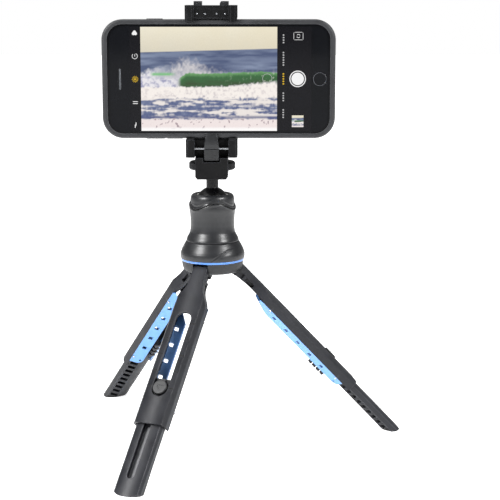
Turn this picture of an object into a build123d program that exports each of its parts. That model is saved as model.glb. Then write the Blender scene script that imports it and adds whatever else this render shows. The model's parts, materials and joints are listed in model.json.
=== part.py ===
"""Mini tripod with a ball head and a spring clamp that holds a phone as its camera.

Millimetres, +Z up. Everything is drawn about the hub's vertical axis, X to the right and Y away
from the person in front of the screen, and moved at the end so that the origin lies on the
floor under the centre of the object's box.
"""
from build123d import *
import math
import os

# ---- where the hub's axis stands in the row frame ----
HUB_X, HUB_Y = -20.6, 7.2

# ---- legs ----
LEG_AZIMUTH = {"front": -22.9, "right": 97.6, "left": -142.0}   # from -Y towards +X, degrees
SPREAD = 43.2                  # leg angle from the vertical when open, degrees
PIVOT_R, PIVOT_Z = 11.0, 111.5
KNUCKLE_R = 3.7
PIN_R, PIN_HALF = 1.5, 8.5
RUN_GAP = 0.06                 # radial clearance of a running fit
NECK_HALF, LEG_HALF = 4.75, 10.5
LEG_OUT, LEG_IN = 6.3, -1.3    # outer face and lower edge of the side walls, from the pivot line
LEG_WALL = 1.25
FLARE_START, FLARE_END, UPPER_END = 12.0, 33.0, 111.5
SLOT_HALF, SLOT_TOP, SLOT_END = 5.0, 36.0, 93.5
STEP_COUNT, STEP_PITCH, STEP_FIRST = 5, 11.1, 43.4

WING_TOP, WING_END = 28.0, 105.0
WING_TIP_W, WING_TIP_H = 3.2, -5.6
WING_THICK = 1.58              # measured along h
WING_SLOPE = (LEG_IN - WING_TIP_H) / (LEG_HALF - WING_TIP_W)
HOLE_SIDE, HOLE_W = 2.6, 6.8
SCREW_W, SCREW_SHANK_R, SCREW_HEAD_R, SCREW_HEAD_H = 9.85, 0.4, 0.6, 0.4

LOWER_HALF, LOWER_OUT = 8.8, 4.7
LOWER_TOP, LOWER_LONG = 81.5, 165.0
LOWER_TIP_W = 2.9
RUNNER_GAP = 0.45              # between lower leg and wings, measured along h
GROOVE_HALF, GROOVE_TOP, GROOVE_END, GROOVE_FLOOR = 2.3, 97.0, 146.0, 0.6
POCKET_FIRST, POCKET_PITCH, POCKET_COUNT = 108.6, 4.8, 9
POCKET_LONG, POCKET_IN, POCKET_OUT, POCKET_FLOOR = 2.9, 3.1, 7.9, 1.0
TOE_R, TOE_END = 14.0, 157.5
GRIP_FIRST, GRIP_PITCH, GRIP_COUNT, GRIP_TIP_H = 82.6, 3.6, 4, -7.4

BUTTON_S, BUTTON_R, BUTTON_OUT = 87.8, 4.6, 7.4
BUTTON_SEAT, BUTTON_RECESS = LOWER_OUT - 0.2, LOWER_OUT - 1.8
STEM_R, STEM_END, BORE_FLOOR = 2.6, 1.2, -1.2
TAB_REACH = 5.6

# ---- hub and ball head ----
HUB_BOTTOM, HUB_TOP, HUB_R = 108.3, 115.4, 19.5
RING_TOP, RING_IN, RING_OUT = 117.2, 16.6, 19.85
SEAM_Z = 126.7
BOSS_R, BOSS_TOP = 11.3, 137.8
BALL_Z, BALL_R, NECK_R = 151.5, 10.2, 3.8
NECK_TOP, STUD_R, STUD_TOP = 168.0, 3.12, 178.6
SEAT_R, SEAT_TOP, LIP_R, LIP_TOP = 11.4, 154.3, 9.6, 156.7
CAP_Z, CAP_TOP, CAP_R = 148.0, 157.4, 13.75
BOLT_R, BOLT_HEAD_R = 2.5, 4.6

# ---- clamp ----
BLOCK_HALF, BLOCK_BOTTOM, BLOCK_TOP = 10.0, 168.1, 181.2
BLOCK_FRONT, BLOCK_BACK = -17.0, 9.0
WHEEL_R, WHEEL_LOW, WHEEL_HIGH, BUSH_R = 14.4, 172.7, 177.5, 5.0
JAW_HALF, RECESS_HALF = 15.8, 10.4
JAW_FRONT, JAW_BACK = -14.4, 9.0
LOWER_JAW_TOP = 191.9
PAD = 0.8
HOOK_Y, HOOK_Z, HOOK_HALF, HOOK_PIN_R = -12.3, 186.5, 4.4, 0.55
HOOK_BACK = -12.9              # rear face of the thumb tab
SPINE_TOP, ROD_X, ROD_Y, ROD_R = 238.0, 7.0, 4.2, 2.0
UPPER_JAW_LOW, UPPER_JAW_TOP = 265.6, 273.1
JAW_LIP_Z = 263.5
LUG_BEVEL = 1.3                # on the front corners of the jaws' lugs
JAW_FACE = JAW_FRONT + 2.2     # front of the upper jaw between its lugs
JAW_SCREW_X, JAW_SCREW_Z, JAW_SCREW_R, JAW_SCREW_HEAD = (3.4, 8.5), 268.0, 0.3, 0.55
SHOE_HALF, SHOE_FLOOR, SHOE_TOP, SHOE_GAP = 10.5, 272.1, 275.5, 5.9
SHOE_FRONT, SHOE_END = -12.0, 8.0
SHOE_STOP, STOP_IN, STOP_R = 1.4, 5.3, 1.2

# ---- phone in its case ----
PHONE_X, PHONE_LOW, PHONE_HIGH = 4.5, 192.8, 264.7
CASE_LONG, CASE_FRONT, CASE_BACK, CASE_CORNER = 142.0, -11.3, -1.0, 12.5
BODY_LONG, BODY_TALL, BODY_FRONT, BODY_BACK, BODY_CORNER = 138.4, 67.3, -9.3, -2.9, 10.2
GLASS_LONG, GLASS_TALL, GLASS_FRONT = 138.0, 66.9, -10.2
WINDOW_LONG, WINDOW_TALL = 135.4, 66.0
DISPLAY_X, DISPLAY_LONG, DISPLAY_TALL = 5.3, 112.0, 64.3
PHONE_Z = (PHONE_LOW + PHONE_HIGH) / 2
HOME_X, HOME_R = 66.0, 4.3
EAR_X, EAR_LONG, EAR_WIDE = -55.6, 12.9, 1.3
LENS_X, LENS_Z, LENS_R, LAMP_X = -56.0, 252.6, 4.2, -47.6
KEY_GAP, KEY_DEEP = 0.3, 1.5

ROW = Pos(HUB_X, HUB_Y, 0)


# ---- small helpers ----
def block(x0, x1, y0, y1, z0, z1):
    """Box between two corners."""
    return Pos((x0 + x1) / 2, (y0 + y1) / 2, (z0 + z1) / 2) * Box(x1 - x0, y1 - y0, z1 - z0)


def rod(radius, z0, z1, x=0.0, y=0.0):
    """Upright cylinder."""
    return Pos(x, y, (z0 + z1) / 2) * Cylinder(radius, z1 - z0)


def rod_x(radius, x0, x1, y, z):
    """Cylinder along X."""
    return Pos((x0 + x1) / 2, y, z) * Rot(0, 90, 0) * Cylinder(radius, x1 - x0)


def rod_y(radius, y0, y1, x, z):
    """Cylinder along Y."""
    return Pos(x, (y0 + y1) / 2, z) * Rot(90, 0, 0) * Cylinder(radius, y1 - y0)


def outline(*curves):
    """Face inside a closed chain of curves."""
    return make_face([edge for curve in curves for edge in curve.edges()])


def polygon(*points):
    """Face inside straight sides."""
    return make_face(Polyline(*points, close=True).edges())


def along_x(face, x0, x1):
    """Prism of a (y, z) face."""
    return extrude(Plane.YZ.offset(x0) * face, x1 - x0)


def along_y(face, y0, y1):
    """Prism of an (x, z) face."""
    return extrude(Plane.XZ.offset(-y1) * face, y1 - y0)


def along_z(face, z0, z1):
    """Prism of an (x, y) face."""
    return extrude(Pos(0, 0, z0) * face, z1 - z0)


def turned(*curves):
    """Solid of revolution of an (r, z) outline about the hub's axis."""
    return revolve(Plane.XZ * outline(*curves), Axis.Z)


def coil(radius, wire, length, turns):
    """Open spring along +Z from the origin."""
    path = Helix(length / turns, length, radius)
    start = Plane(origin=path @ 0, z_dir=path % 0)
    return sweep(start * Circle(wire), path=path, is_frenet=True)


def mirrored_x(shape):
    """The shape and its mirror image in the YZ plane."""
    return [shape, mirror(shape, Plane.YZ)]


def group(*shapes):
    """One node made of separate solids."""
    return Compound([solid for shape in shapes for solid in shape.solids()])


# ---- legs, drawn hanging: X outward, Y across, Z up, origin on the pivot ----
def flared_plan(neck, full, top, start, end, bottom):
    """Width of the leg seen from outside: a neck that swells to the full width."""
    middle = (start + end) / 2
    right = Line((neck, -top), (neck, -start))
    swell = Bezier((neck, -start), (neck, -middle), (full, -middle), (full, -end))
    side = Line((full, -end), (full, -bottom))
    half = [right, swell, side]
    other = [mirror(curve, Plane.YZ) for curve in half]
    foot = Line((full, -bottom), (-full, -bottom))
    cap = Line((neck, -top), (-neck, -top))
    return outline(*half, *other, foot, cap)


def shell_profile():
    """Side view of the upper leg: knuckle, stop shoulder, straight back, hollowed inner edge."""
    turn = KNUCKLE_R * math.sqrt(0.5)
    return outline(
        ThreePointArc((-KNUCKLE_R, 0), (-turn * 0.5, KNUCKLE_R * 0.935), (turn, turn)),
        Polyline((turn, turn), (LEG_OUT - 0.4, -1.1), (LEG_OUT, -2.8), (LEG_OUT, -UPPER_END)),
        Line((LEG_OUT, -UPPER_END), (LEG_IN, -UPPER_END)),
        Line((LEG_IN, -UPPER_END), (LEG_IN, -FLARE_END)),
        ThreePointArc((LEG_IN, -FLARE_END), (-0.9, -16.0), (-KNUCKLE_R, 0)),
    )


def shell_section(half, out, bevel_w, bevel_h, low):
    """Cross-section of the leg with bevelled outer shoulders, in (outward, across)."""
    return polygon((low, -half), (out - bevel_h, -half), (out, -half + bevel_w), (out, half - bevel_w),
                   (out - bevel_h, half), (low, half))


def screw_places():
    """Where the wings are screwed to the side walls: across, and down the leg."""
    return [(side * SCREW_W, -s) for side in (-1, 1) for s in (37.5, 99.5)]


def wing_face_h(w):
    """Outer surface of a wing at a distance w from the middle."""
    return LEG_IN - (LEG_HALF - abs(w)) * WING_SLOPE


def leg_upper():
    """Moulded channel with a knuckle at the top and a long slot for the button."""
    body = along_x(flared_plan(NECK_HALF, LEG_HALF, -KNUCKLE_R, FLARE_START, FLARE_END, UPPER_END), -8, 8)
    body &= along_y(shell_profile(), -LEG_HALF, LEG_HALF)
    body &= along_z(shell_section(LEG_HALF, LEG_OUT, 2.0, 2.8, -8), -UPPER_END, KNUCKLE_R)
    inner = LEG_HALF - LEG_WALL
    hollow = along_x(flared_plan(3.0, inner, 20, 21, 35, UPPER_END + 1), -9, LEG_OUT - LEG_WALL)
    hollow &= along_z(shell_section(inner, LEG_OUT - LEG_WALL, 1.4, 1.85, -9), -UPPER_END - 1, 0)
    body -= hollow
    slot = Pos(0, -(SLOT_TOP + SLOT_END) / 2) * Rot(0, 0, 90) * SlotOverall(SLOT_END - SLOT_TOP, 2 * SLOT_HALF)
    body -= along_x(slot, 1.0, LEG_OUT + 1)
    for index in range(STEP_COUNT):
        z = -(STEP_FIRST + index * STEP_PITCH)
        body -= block(LEG_OUT - 0.5, LEG_OUT + 1, 5.6, 7.6, z - 0.5, z + 0.5)
    for side in (-1, 1):
        low, high = sorted((side * 3.35, side * 6.0))
        body -= block(-0.4, 2.0, low, high, -19.5, -12.5)
        body -= block(-2.2, 2.4, low, high, -10.5, -5.2)
    body -= Rot(90, 0, 0) * Cylinder(PIN_R + RUN_GAP, 30)
    for w, z in screw_places():
        body -= Pos(LEG_IN, w, z) * Rot(0, 90, 0) * Cylinder(SCREW_SHANK_R, 5.0)
    return body


def leg_wings():
    """Two plates that close the channel in a V, with a gap along its bottom."""
    wings = []
    tip_in = WING_TIP_H + WING_THICK
    root_w = WING_TIP_W + (LEG_IN - tip_in) / WING_SLOPE
    section = polygon((LEG_IN, LEG_HALF), (WING_TIP_H, WING_TIP_W), (tip_in, WING_TIP_W), (LEG_IN, root_w))
    plan = outline(
        Polyline((LEG_HALF, -WING_TOP), (8.2, -WING_TOP), (WING_TIP_W, -WING_TOP - 10)),
        Line((WING_TIP_W, -WING_TOP - 10), (WING_TIP_W, -WING_END + 4)),
        Bezier((WING_TIP_W, -WING_END + 4), (WING_TIP_W + 0.4, -WING_END), (WING_TIP_W + 4, -WING_END)),
        Polyline((WING_TIP_W + 4, -WING_END), (LEG_HALF, -WING_END), (LEG_HALF, -WING_TOP)),
    )
    wing = along_z(section, -WING_END, -WING_TOP) & along_x(plan, -9, 0)
    for index in range(STEP_COUNT):
        z = -(STEP_FIRST + index * STEP_PITCH)
        wing -= block(-8, 0, HOLE_W - HOLE_SIDE / 2, HOLE_W + HOLE_SIDE / 2, z - HOLE_SIDE / 2, z + HOLE_SIDE / 2)
    wing -= Pos(-4.5, 4.9, -WING_END + 3.4) * Rot(0, 90, 0) * Cylinder(0.8, 6)
    for side in (1, -1):
        half = wing if side > 0 else mirror(wing, Plane.XZ)
        for w, z in screw_places():
            if w * side > 0:
                half -= Pos(LEG_IN, w, z) * Rot(0, 90, 0) * Cylinder(SCREW_SHANK_R, 5.0)
        wings.append(half)
    return group(*wings)


def leg_screws():
    """Small screws that go up through the wings into the side walls."""
    screws = []
    for w, z in screw_places():
        face = wing_face_h(w + math.copysign(SCREW_HEAD_R, -w))
        shank = Pos(LEG_IN, w, z) * Rot(0, 90, 0) * Cylinder(SCREW_SHANK_R, 5.0)
        shank &= block(face, LEG_OUT, -20, 20, -200, 0)
        head = Pos(face - SCREW_HEAD_H / 2, w, z) * Rot(0, 90, 0) * Cylinder(SCREW_HEAD_R, SCREW_HEAD_H)
        screws.append(shank + head)
    return group(*screws)


def lower_section():
    """Cross-section of the telescopic leg, in (outward, across)."""
    slope_low = WING_TIP_H + WING_THICK + RUNNER_GAP
    edge = slope_low + WING_SLOPE * (LOWER_HALF - WING_TIP_W)
    tip = slope_low + WING_SLOPE * (LOWER_TIP_W - WING_TIP_W)
    half = LOWER_HALF
    return polygon((LOWER_OUT, -half + 1.4), (LOWER_OUT, half - 1.4), (LOWER_OUT - 1.85, half), (edge, half),
                   (tip, LOWER_TIP_W), (tip, -LOWER_TIP_W), (edge, -half), (LOWER_OUT - 1.85, -half))


def toe_cut():
    """Everything below the floor, seen from an open leg."""
    ground = Pos(0, 0, -50) * Box(1000, 60, 100)
    return Rot(0, SPREAD, 0) * Pos(-PIVOT_R, 0, -PIVOT_Z) * ground


def leg_lower():
    """Telescopic leg: groove outside, ladder of pockets inside, finger ribs, bore for the button."""
    body = along_z(lower_section(), -LOWER_LONG, -LOWER_TOP)
    drop = TOE_R - math.sqrt(TOE_R ** 2 - LOWER_HALF ** 2)
    tongue = outline(
        Polyline((LOWER_HALF, drop - TOE_END), (LOWER_HALF, -LOWER_TOP), (-LOWER_HALF, -LOWER_TOP),
                 (-LOWER_HALF, drop - TOE_END)),
        ThreePointArc((-LOWER_HALF, drop - TOE_END), (0, -TOE_END), (LOWER_HALF, drop - TOE_END)),
    )
    body &= along_x(tongue, -10, 10)
    body -= toe_cut()
    heel = body.edges().filter_by(Axis.Y).sort_by(Axis.X)[:2].sort_by(Axis.Z)[0]
    body = fillet(heel, 3.5)
    tip = WING_TIP_H + WING_THICK + RUNNER_GAP
    groove = Pos(-0.8, -(GROOVE_TOP + GROOVE_END) / 2) * Rot(0, 0, 90) * SlotOverall(
        GROOVE_END - GROOVE_TOP, 2 * GROOVE_HALF)
    body -= along_x(groove, GROOVE_FLOOR, LOWER_OUT + 1)
    for index in range(POCKET_COUNT):
        z = -(POCKET_FIRST + index * POCKET_PITCH)
        for side in (-1, 1):
            low, high = sorted((side * POCKET_IN, side * POCKET_OUT))
            body -= block(-9, POCKET_FLOOR, low, high, z - POCKET_LONG / 2, z + POCKET_LONG / 2)
    for index in range(GRIP_COUNT):
        z = -(GRIP_FIRST + index * GRIP_PITCH)
        rib = along_z(polygon((tip + 0.8, -2.6), (GRIP_TIP_H, -2.0), (GRIP_TIP_H, 2.0), (tip + 0.8, 2.6)),
                      z - 0.9, z + 0.9)
        body += rib
    body -= rod_out(BUTTON_R + 0.25, BUTTON_RECESS, LOWER_OUT + 1)
    body -= block(BUTTON_RECESS, LOWER_OUT + 1, -2.3, 2.3, -BUTTON_S, -BUTTON_S + TAB_REACH + 0.3)
    return body - rod_out(STEM_R + RUN_GAP, BORE_FLOOR, BUTTON_RECESS)


def rod_out(radius, h0, h1, s=BUTTON_S):
    """Cylinder along the outward direction, at the button's place."""
    return Pos((h0 + h1) / 2, 0, -s) * Rot(0, 90, 0) * Cylinder(radius, h1 - h0)


def leg_button():
    """Round release button with a short tab, an arrow mark and a hollow stem."""
    body = rod_out(BUTTON_R, BUTTON_SEAT, BUTTON_OUT)
    rim = body.edges().filter_by(GeomType.CIRCLE).sort_by(Axis.X)[-1]
    body = fillet(rim, 0.7)
    body += block(BUTTON_SEAT, BUTTON_OUT - 0.9, -2.0, 2.0, -BUTTON_S, -BUTTON_S + TAB_REACH)
    body += rod_out(STEM_R, STEM_END, BUTTON_SEAT)
    body -= rod_out(1.9, STEM_END - 1, BUTTON_SEAT - 0.6)
    mark = Pos(BUTTON_OUT - 0.35, 0, -BUTTON_S) * Rot(0, 90, 0) * extrude(RegularPolygon(2.2, 3), 1.0)
    return body - mark


def leg_button_spring():
    """Small coil behind the button."""
    return Pos(BORE_FLOOR + 0.25, 0, -BUTTON_S) * Rot(0, 90, 0) * coil(1.5, 0.22, 4.4, 4)


def leg_pin():
    """Pivot pin across the hub's slot."""
    return Rot(90, 0, 0) * Cylinder(PIN_R, 2 * PIN_HALF)


def open_leg(azimuth):
    """Place of a leg that rests on its spread stop."""
    return Rot(0, 0, azimuth - 90) * Pos(PIVOT_R, 0, PIVOT_Z) * Rot(0, -SPREAD, 0)


# ---- hub and ball head ----
def leg_hub():
    """Round hub with three slots for the knuckles."""
    body = turned(
        Polyline((0, HUB_BOTTOM), (15.8, HUB_BOTTOM)),
        Bezier((15.8, HUB_BOTTOM), (18.4, HUB_BOTTOM + 0.3), (19.1, HUB_BOTTOM + 3.0), (HUB_R, HUB_TOP)),
        Polyline((HUB_R, HUB_TOP), (0, HUB_TOP), (0, HUB_BOTTOM)),
    )
    slot_half = NECK_HALF + 0.3
    for azimuth in LEG_AZIMUTH.values():
        turn = Rot(0, 0, azimuth - 90)
        body -= turn * block(PIVOT_R - KNUCKLE_R - 0.4, 25, -slot_half, slot_half, HUB_BOTTOM - 1, HUB_TOP + 1)
        body -= turn * Pos(PIVOT_R, 0, PIVOT_Z) * leg_pin()
    body -= rod(BOLT_R, HUB_BOTTOM, HUB_TOP)
    body -= rod(BOLT_HEAD_R, HUB_BOTTOM, 110.8)
    return body


def hub_bottom_cap():
    """Low disc that hides the bolt."""
    cap = rod(5.8, 107.0, HUB_BOTTOM)
    return chamfer(cap.edges().filter_by(GeomType.CIRCLE).sort_by(Axis.Z)[0], 0.6)


def centre_bolt():
    """Bolt that ties the hub, the ring and the skirt together."""
    bolt = rod(BOLT_R, 110.8, 134.0) + rod(BOLT_HEAD_R, HUB_BOTTOM + 0.1, 110.8)
    return bolt - along_z(RegularPolygon(2.0, 6), HUB_BOTTOM - 1, 110.0)


def accent_ring():
    """Coloured band between the hub and the skirt."""
    ring = rod(RING_OUT, HUB_TOP, RING_TOP) - rod(RING_IN, HUB_TOP - 1, RING_TOP + 1)
    return fillet(ring.edges().filter_by(GeomType.CIRCLE).group_by(SortBy.RADIUS)[-1], 0.4)


def base_skirt():
    """Bell-shaped base of the head, with the boss that the grip turns on."""
    body = turned(
        Polyline((0, HUB_TOP), (RING_IN, HUB_TOP), (RING_IN, RING_TOP), (19.5, RING_TOP)),
        Bezier((19.5, RING_TOP), (20.1, 119.4), (19.1, 122.6), (18.0, 124.3)),
        Bezier((18.0, 124.3), (17.5, 125.2), (16.95, 126.0), (16.7, SEAM_Z)),
        Polyline((16.7, SEAM_Z), (BOSS_R, SEAM_Z), (BOSS_R, BOSS_TOP), (0, BOSS_TOP), (0, HUB_TOP)),
    )
    return body - rod(BOLT_R, HUB_TOP, 134.0)


def lock_sleeve():
    """Waisted grip that is turned to lock the ball."""
    gap = 0.3
    return turned(
        Polyline((BOSS_R + 0.1, SEAM_Z + gap), (16.5, SEAM_Z + gap), (16.45, 128.0)),
        Bezier((16.45, 128.0), (15.9, 131.0), (13.95, 133.4), (13.7, 137.2)),
        Bezier((13.7, 137.2), (13.55, 141.0), (14.05, 144.0), (14.75, 147.4)),
        Polyline((14.75, 147.4), (14.55, CAP_Z), (SEAT_R + 0.1, CAP_Z), (SEAT_R + 0.1, 138.4),
                 (BOSS_R + 0.1, 138.2), (BOSS_R + 0.1, SEAM_Z + gap)),
    )


def lock_cap():
    """Cap that presses the seat onto the ball."""
    return turned(
        Polyline((SEAT_R + 0.1, CAP_Z), (14.1, CAP_Z), (CAP_R, 149.6), (CAP_R, 153.0)),
        Bezier((CAP_R, 153.0), (CAP_R, 156.2), (12.8, CAP_TOP), (11.2, CAP_TOP)),
        Polyline((11.2, CAP_TOP), (10.3, CAP_TOP), (9.8, SEAT_TOP + 0.2), (SEAT_R + 0.1, SEAT_TOP + 0.2),
                 (SEAT_R + 0.1, CAP_Z)),
    )


def ball_seat():
    """Nylon cup around the ball."""
    seat = rod(SEAT_R, BOSS_TOP + 0.1, SEAT_TOP)
    seat = chamfer(seat.edges().filter_by(GeomType.CIRCLE).sort_by(Axis.Z)[0], 0.8)
    seat += rod(LIP_R, SEAT_TOP, LIP_TOP)
    return seat - Pos(0, 0, BALL_Z) * Sphere(BALL_R + RUN_GAP)


def ball_stud():
    """Ball, neck with a small collar, and the threaded stud on top."""
    body = Pos(0, 0, BALL_Z) * Sphere(BALL_R) + rod(NECK_R, BALL_Z, NECK_TOP)
    body += rod(4.3, NECK_TOP - 1.6, NECK_TOP) + rod(STUD_R, NECK_TOP, STUD_TOP)
    return body


# ---- clamp ----
def base_block():
    """Block at the foot of the clamp, slotted for the thumb wheel and notched for the hook."""
    front = polygon((-BLOCK_HALF, BLOCK_TOP), (-BLOCK_HALF, BLOCK_BOTTOM + 1.6),
                    (-BLOCK_HALF + 1.2, BLOCK_BOTTOM), (BLOCK_HALF - 1.2, BLOCK_BOTTOM),
                    (BLOCK_HALF, BLOCK_BOTTOM + 1.6), (BLOCK_HALF, BLOCK_TOP))
    body = along_y(front, BLOCK_FRONT, BLOCK_BACK)
    body -= block(-20, 20, BLOCK_FRONT + 1.9, 20, WHEEL_LOW - 0.3, WHEEL_HIGH + 0.3)
    body -= block(-HOOK_HALF - 0.7, HOOK_HALF + 0.7, BLOCK_FRONT - 1, -8.6, 178.6, BLOCK_TOP + 1)
    body -= rod(STUD_R + 0.2, BLOCK_BOTTOM - 1, 179.4)
    return body


def thumb_wheel():
    """Wheel with finger scallops round its edge."""
    wheel = rod(WHEEL_R, WHEEL_LOW, WHEEL_HIGH)
    wheel = chamfer(wheel.edges().filter_by(GeomType.CIRCLE), 0.8)
    for place in PolarLocations(WHEEL_R + 0.55, 30):
        wheel -= place * Pos(0, 0, (WHEEL_LOW + WHEEL_HIGH) / 2) * Cylinder(0.9, 6)
    return wheel - rod(BUSH_R, WHEEL_LOW - 1, WHEEL_HIGH + 1)


def threaded_bush():
    """Brass bush in the wheel."""
    return rod(BUSH_R, WHEEL_LOW, WHEEL_HIGH) - rod(STUD_R + RUN_GAP, WHEEL_LOW - 1, WHEEL_HIGH + 1)


def lower_jaw():
    """Lower jaw with two lugs in front and the recess of the hook between them."""
    body = block(-JAW_HALF, JAW_HALF, JAW_FRONT, JAW_BACK, BLOCK_TOP, LOWER_JAW_TOP)
    body = chamfer(body.edges().filter_by(Axis.Z).sort_by(Axis.Y)[:2], LUG_BEVEL)
    body -= block(-RECESS_HALF, RECESS_HALF, JAW_FRONT - 1, -8.4, BLOCK_TOP - 1, LOWER_JAW_TOP + 1)
    body -= rod_x(HOOK_PIN_R, -12.6, 12.6, HOOK_Y, HOOK_Z)
    return body


def lower_jaw_pads():
    """Rubber strips under the case."""
    left = block(-JAW_HALF + 0.6, -RECESS_HALF - 0.4, -13.0, -0.6, LOWER_JAW_TOP, LOWER_JAW_TOP + PAD)
    middle = block(-RECESS_HALF, RECESS_HALF, -8.0, -0.6, LOWER_JAW_TOP, LOWER_JAW_TOP + PAD)
    return group(*mirrored_x(left), middle)


def hook_pin():
    """Steel cross pin of the hook."""
    return rod_x(HOOK_PIN_R, -12.6, 12.6, HOOK_Y, HOOK_Z)


def hook_spring():
    """Coil behind the hook's thumb tab."""
    return Pos(0, HOOK_BACK + 0.3, 181.0) * Rot(-90, 0, 0) * coil(1.4, 0.25, 3.7, 4)


def retaining_hook():
    """Rocking hook: tooth over the case's lower edge, thumb tab below the pin."""
    side = outline(
        Polyline((HOOK_Y + 1.9, HOOK_Z - 1.2), (-10.4, 188.4), (-10.4, 191.4), (-11.75, 192.3), (-11.75, 196.1),
                 (-12.7, 196.1)),
        ThreePointArc((-12.7, 196.1), (-13.5, 193.2), (-13.8, 190.2)),
        Polyline((-13.8, 190.2), (-13.8, 189.0), (-15.8, 187.0), (-15.6, 179.6), (HOOK_BACK, 179.6), (HOOK_BACK, HOOK_Z - 2.6),
                 (HOOK_Y + 1.9, HOOK_Z - 1.2)),
    )
    body = along_x(side, -HOOK_HALF, HOOK_HALF)
    front = polygon((-HOOK_HALF, 179), (-HOOK_HALF, 188), (-3.1, 197), (3.1, 197), (HOOK_HALF, 188),
                    (HOOK_HALF, 179))
    body &= along_y(front, -20, 0)
    body -= block(-10, 10, -20, -15.0, 186.2, 186.8)
    return body - rod_x(HOOK_PIN_R + RUN_GAP, -10, 10, HOOK_Y, HOOK_Z)


def clamp_back():
    """Upright behind the phone with the bores of the guide rods."""
    body = block(-9.6, 9.6, -0.4, 8.0, LOWER_JAW_TOP + PAD, SPINE_TOP)
    body += block(-9.6, 9.6, 0, 8.0, LOWER_JAW_TOP, LOWER_JAW_TOP + PAD)
    for side in (-1, 1):
        body -= rod(ROD_R + RUN_GAP, 200.0, SPINE_TOP + 1, side * ROD_X, ROD_Y)
    return body - rod(3.4, 196.0, SPINE_TOP + 1, 0, ROD_Y)


def guide_rods():
    """Steel rods of the upper jaw."""
    return group(*mirrored_x(rod(ROD_R, 204.0, 269.0, ROD_X, ROD_Y)))


def jaw_spring():
    """Coil that draws the jaws together."""
    return Pos(0, ROD_Y, 196.5) * coil(2.5, 0.4, 68.4, 17)


def upper_jaw():
    """Upper jaw with two bevelled lugs and lips, a seat for the shoe, and a sleeve over the upright."""
    body = block(-JAW_HALF, JAW_HALF, JAW_FACE, JAW_BACK + 1.0, UPPER_JAW_LOW, UPPER_JAW_TOP)
    for side in (-1, 1):
        inner, outer = sorted((side * RECESS_HALF, side * JAW_HALF))
        lug = block(inner, outer, JAW_FRONT, JAW_FRONT + 2.7, JAW_LIP_Z, UPPER_JAW_TOP)
        lug = chamfer(lug.edges().filter_by(Axis.Z).sort_by(Axis.Y)[:2], LUG_BEVEL)
        body += lug
    body += block(-11.6, 11.6, 0.0, JAW_BACK + 1.0, 214.0, UPPER_JAW_LOW)
    body -= block(-9.9, 9.9, -1.0, 8.3, 213.0, UPPER_JAW_LOW)
    for side in (-1, 1):
        body -= rod(ROD_R, UPPER_JAW_LOW - 1, 269.0, side * ROD_X, ROD_Y)
        for x in JAW_SCREW_X:
            body -= rod_y(JAW_SCREW_R, JAW_FRONT, JAW_FACE + 3.0, side * x, JAW_SCREW_Z)
    return body - block(-SHOE_HALF, SHOE_HALF, SHOE_FRONT, 20, SHOE_FLOOR - 1.2, UPPER_JAW_TOP + 1)


def upper_jaw_pad():
    """Rubber strip above the case."""
    return block(-JAW_HALF + 0.6, JAW_HALF - 0.6, -11.5, -0.4, UPPER_JAW_LOW - PAD, UPPER_JAW_LOW)


def cold_shoe():
    """Accessory shoe: floor, walls, lips that leave the standard gap, and two round-topped front stops."""
    front = polygon((-SHOE_HALF, SHOE_FLOOR - 1.2), (SHOE_HALF, SHOE_FLOOR - 1.2), (SHOE_HALF, SHOE_TOP),
                    (SHOE_GAP, SHOE_TOP), (SHOE_GAP, SHOE_TOP - 1.3), (9.35, SHOE_TOP - 1.3),
                    (9.35, SHOE_FLOOR), (-9.35, SHOE_FLOOR), (-9.35, SHOE_TOP - 1.3),
                    (-SHOE_GAP, SHOE_TOP - 1.3), (-SHOE_GAP, SHOE_TOP), (-SHOE_HALF, SHOE_TOP))
    stop_end = SHOE_FRONT + SHOE_STOP
    shoe = along_y(front, stop_end, SHOE_END)
    corners = shoe.edges().filter_by(Axis.Z).filter_by(lambda edge: abs(abs(edge.center().X) - SHOE_HALF) < 0.1)
    shoe = fillet(corners.sort_by(Axis.Y)[-2:], 1.1)
    shoe += block(-SHOE_HALF, SHOE_HALF, SHOE_FRONT, stop_end, SHOE_FLOOR - 1.2, SHOE_FLOOR)
    for side in (-1, 1):
        low, high = sorted((side * (SHOE_HALF - 0.1), side * STOP_IN))
        shoe += block(low, high, SHOE_FRONT, stop_end, SHOE_FLOOR, SHOE_TOP - STOP_R)
        shoe += rod_y(STOP_R, SHOE_FRONT, stop_end, side * (SHOE_HALF - 0.1 - STOP_R), SHOE_TOP - STOP_R)
        shoe += rod_y(STOP_R, SHOE_FRONT, stop_end, side * (STOP_IN + STOP_R), SHOE_TOP - STOP_R - 0.3)
    return shoe


def shoe_screws():
    """Four small screws in the front of the upper jaw."""
    screws = []
    for x in JAW_SCREW_X:
        head = rod_y(JAW_SCREW_HEAD, JAW_FACE - 0.35, JAW_FACE, x, JAW_SCREW_Z)
        head -= block(x - 1, x + 1, JAW_FACE - 1, JAW_FACE - 0.2, JAW_SCREW_Z - 0.1, JAW_SCREW_Z + 0.1)
        screws += mirrored_x(head + rod_y(JAW_SCREW_R, JAW_FACE, JAW_FACE + 3.0, x, JAW_SCREW_Z))
    return group(*screws)


# ---- phone in its case ----
def rounded_slab(long, tall, corner, y0, y1, x=PHONE_X):
    """Upright plate with round corners."""
    return along_y(Pos(x, PHONE_Z) * RectangleRounded(long, tall, corner), y0, y1)


def key_places():
    """Case keys: left end, right end, the edge that they are on, and how far they stand out."""
    return {
        "mute_switch": (-52.0, -45.0, PHONE_LOW, -0.7),
        "volume_up_button": (-40.2, -28.8, PHONE_LOW, 0.5),
        "volume_down_button": (-27.4, -17.8, PHONE_LOW, 0.5),
        "power_button": (-39.3, -29.5, PHONE_HIGH, 0.4),
    }


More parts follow.
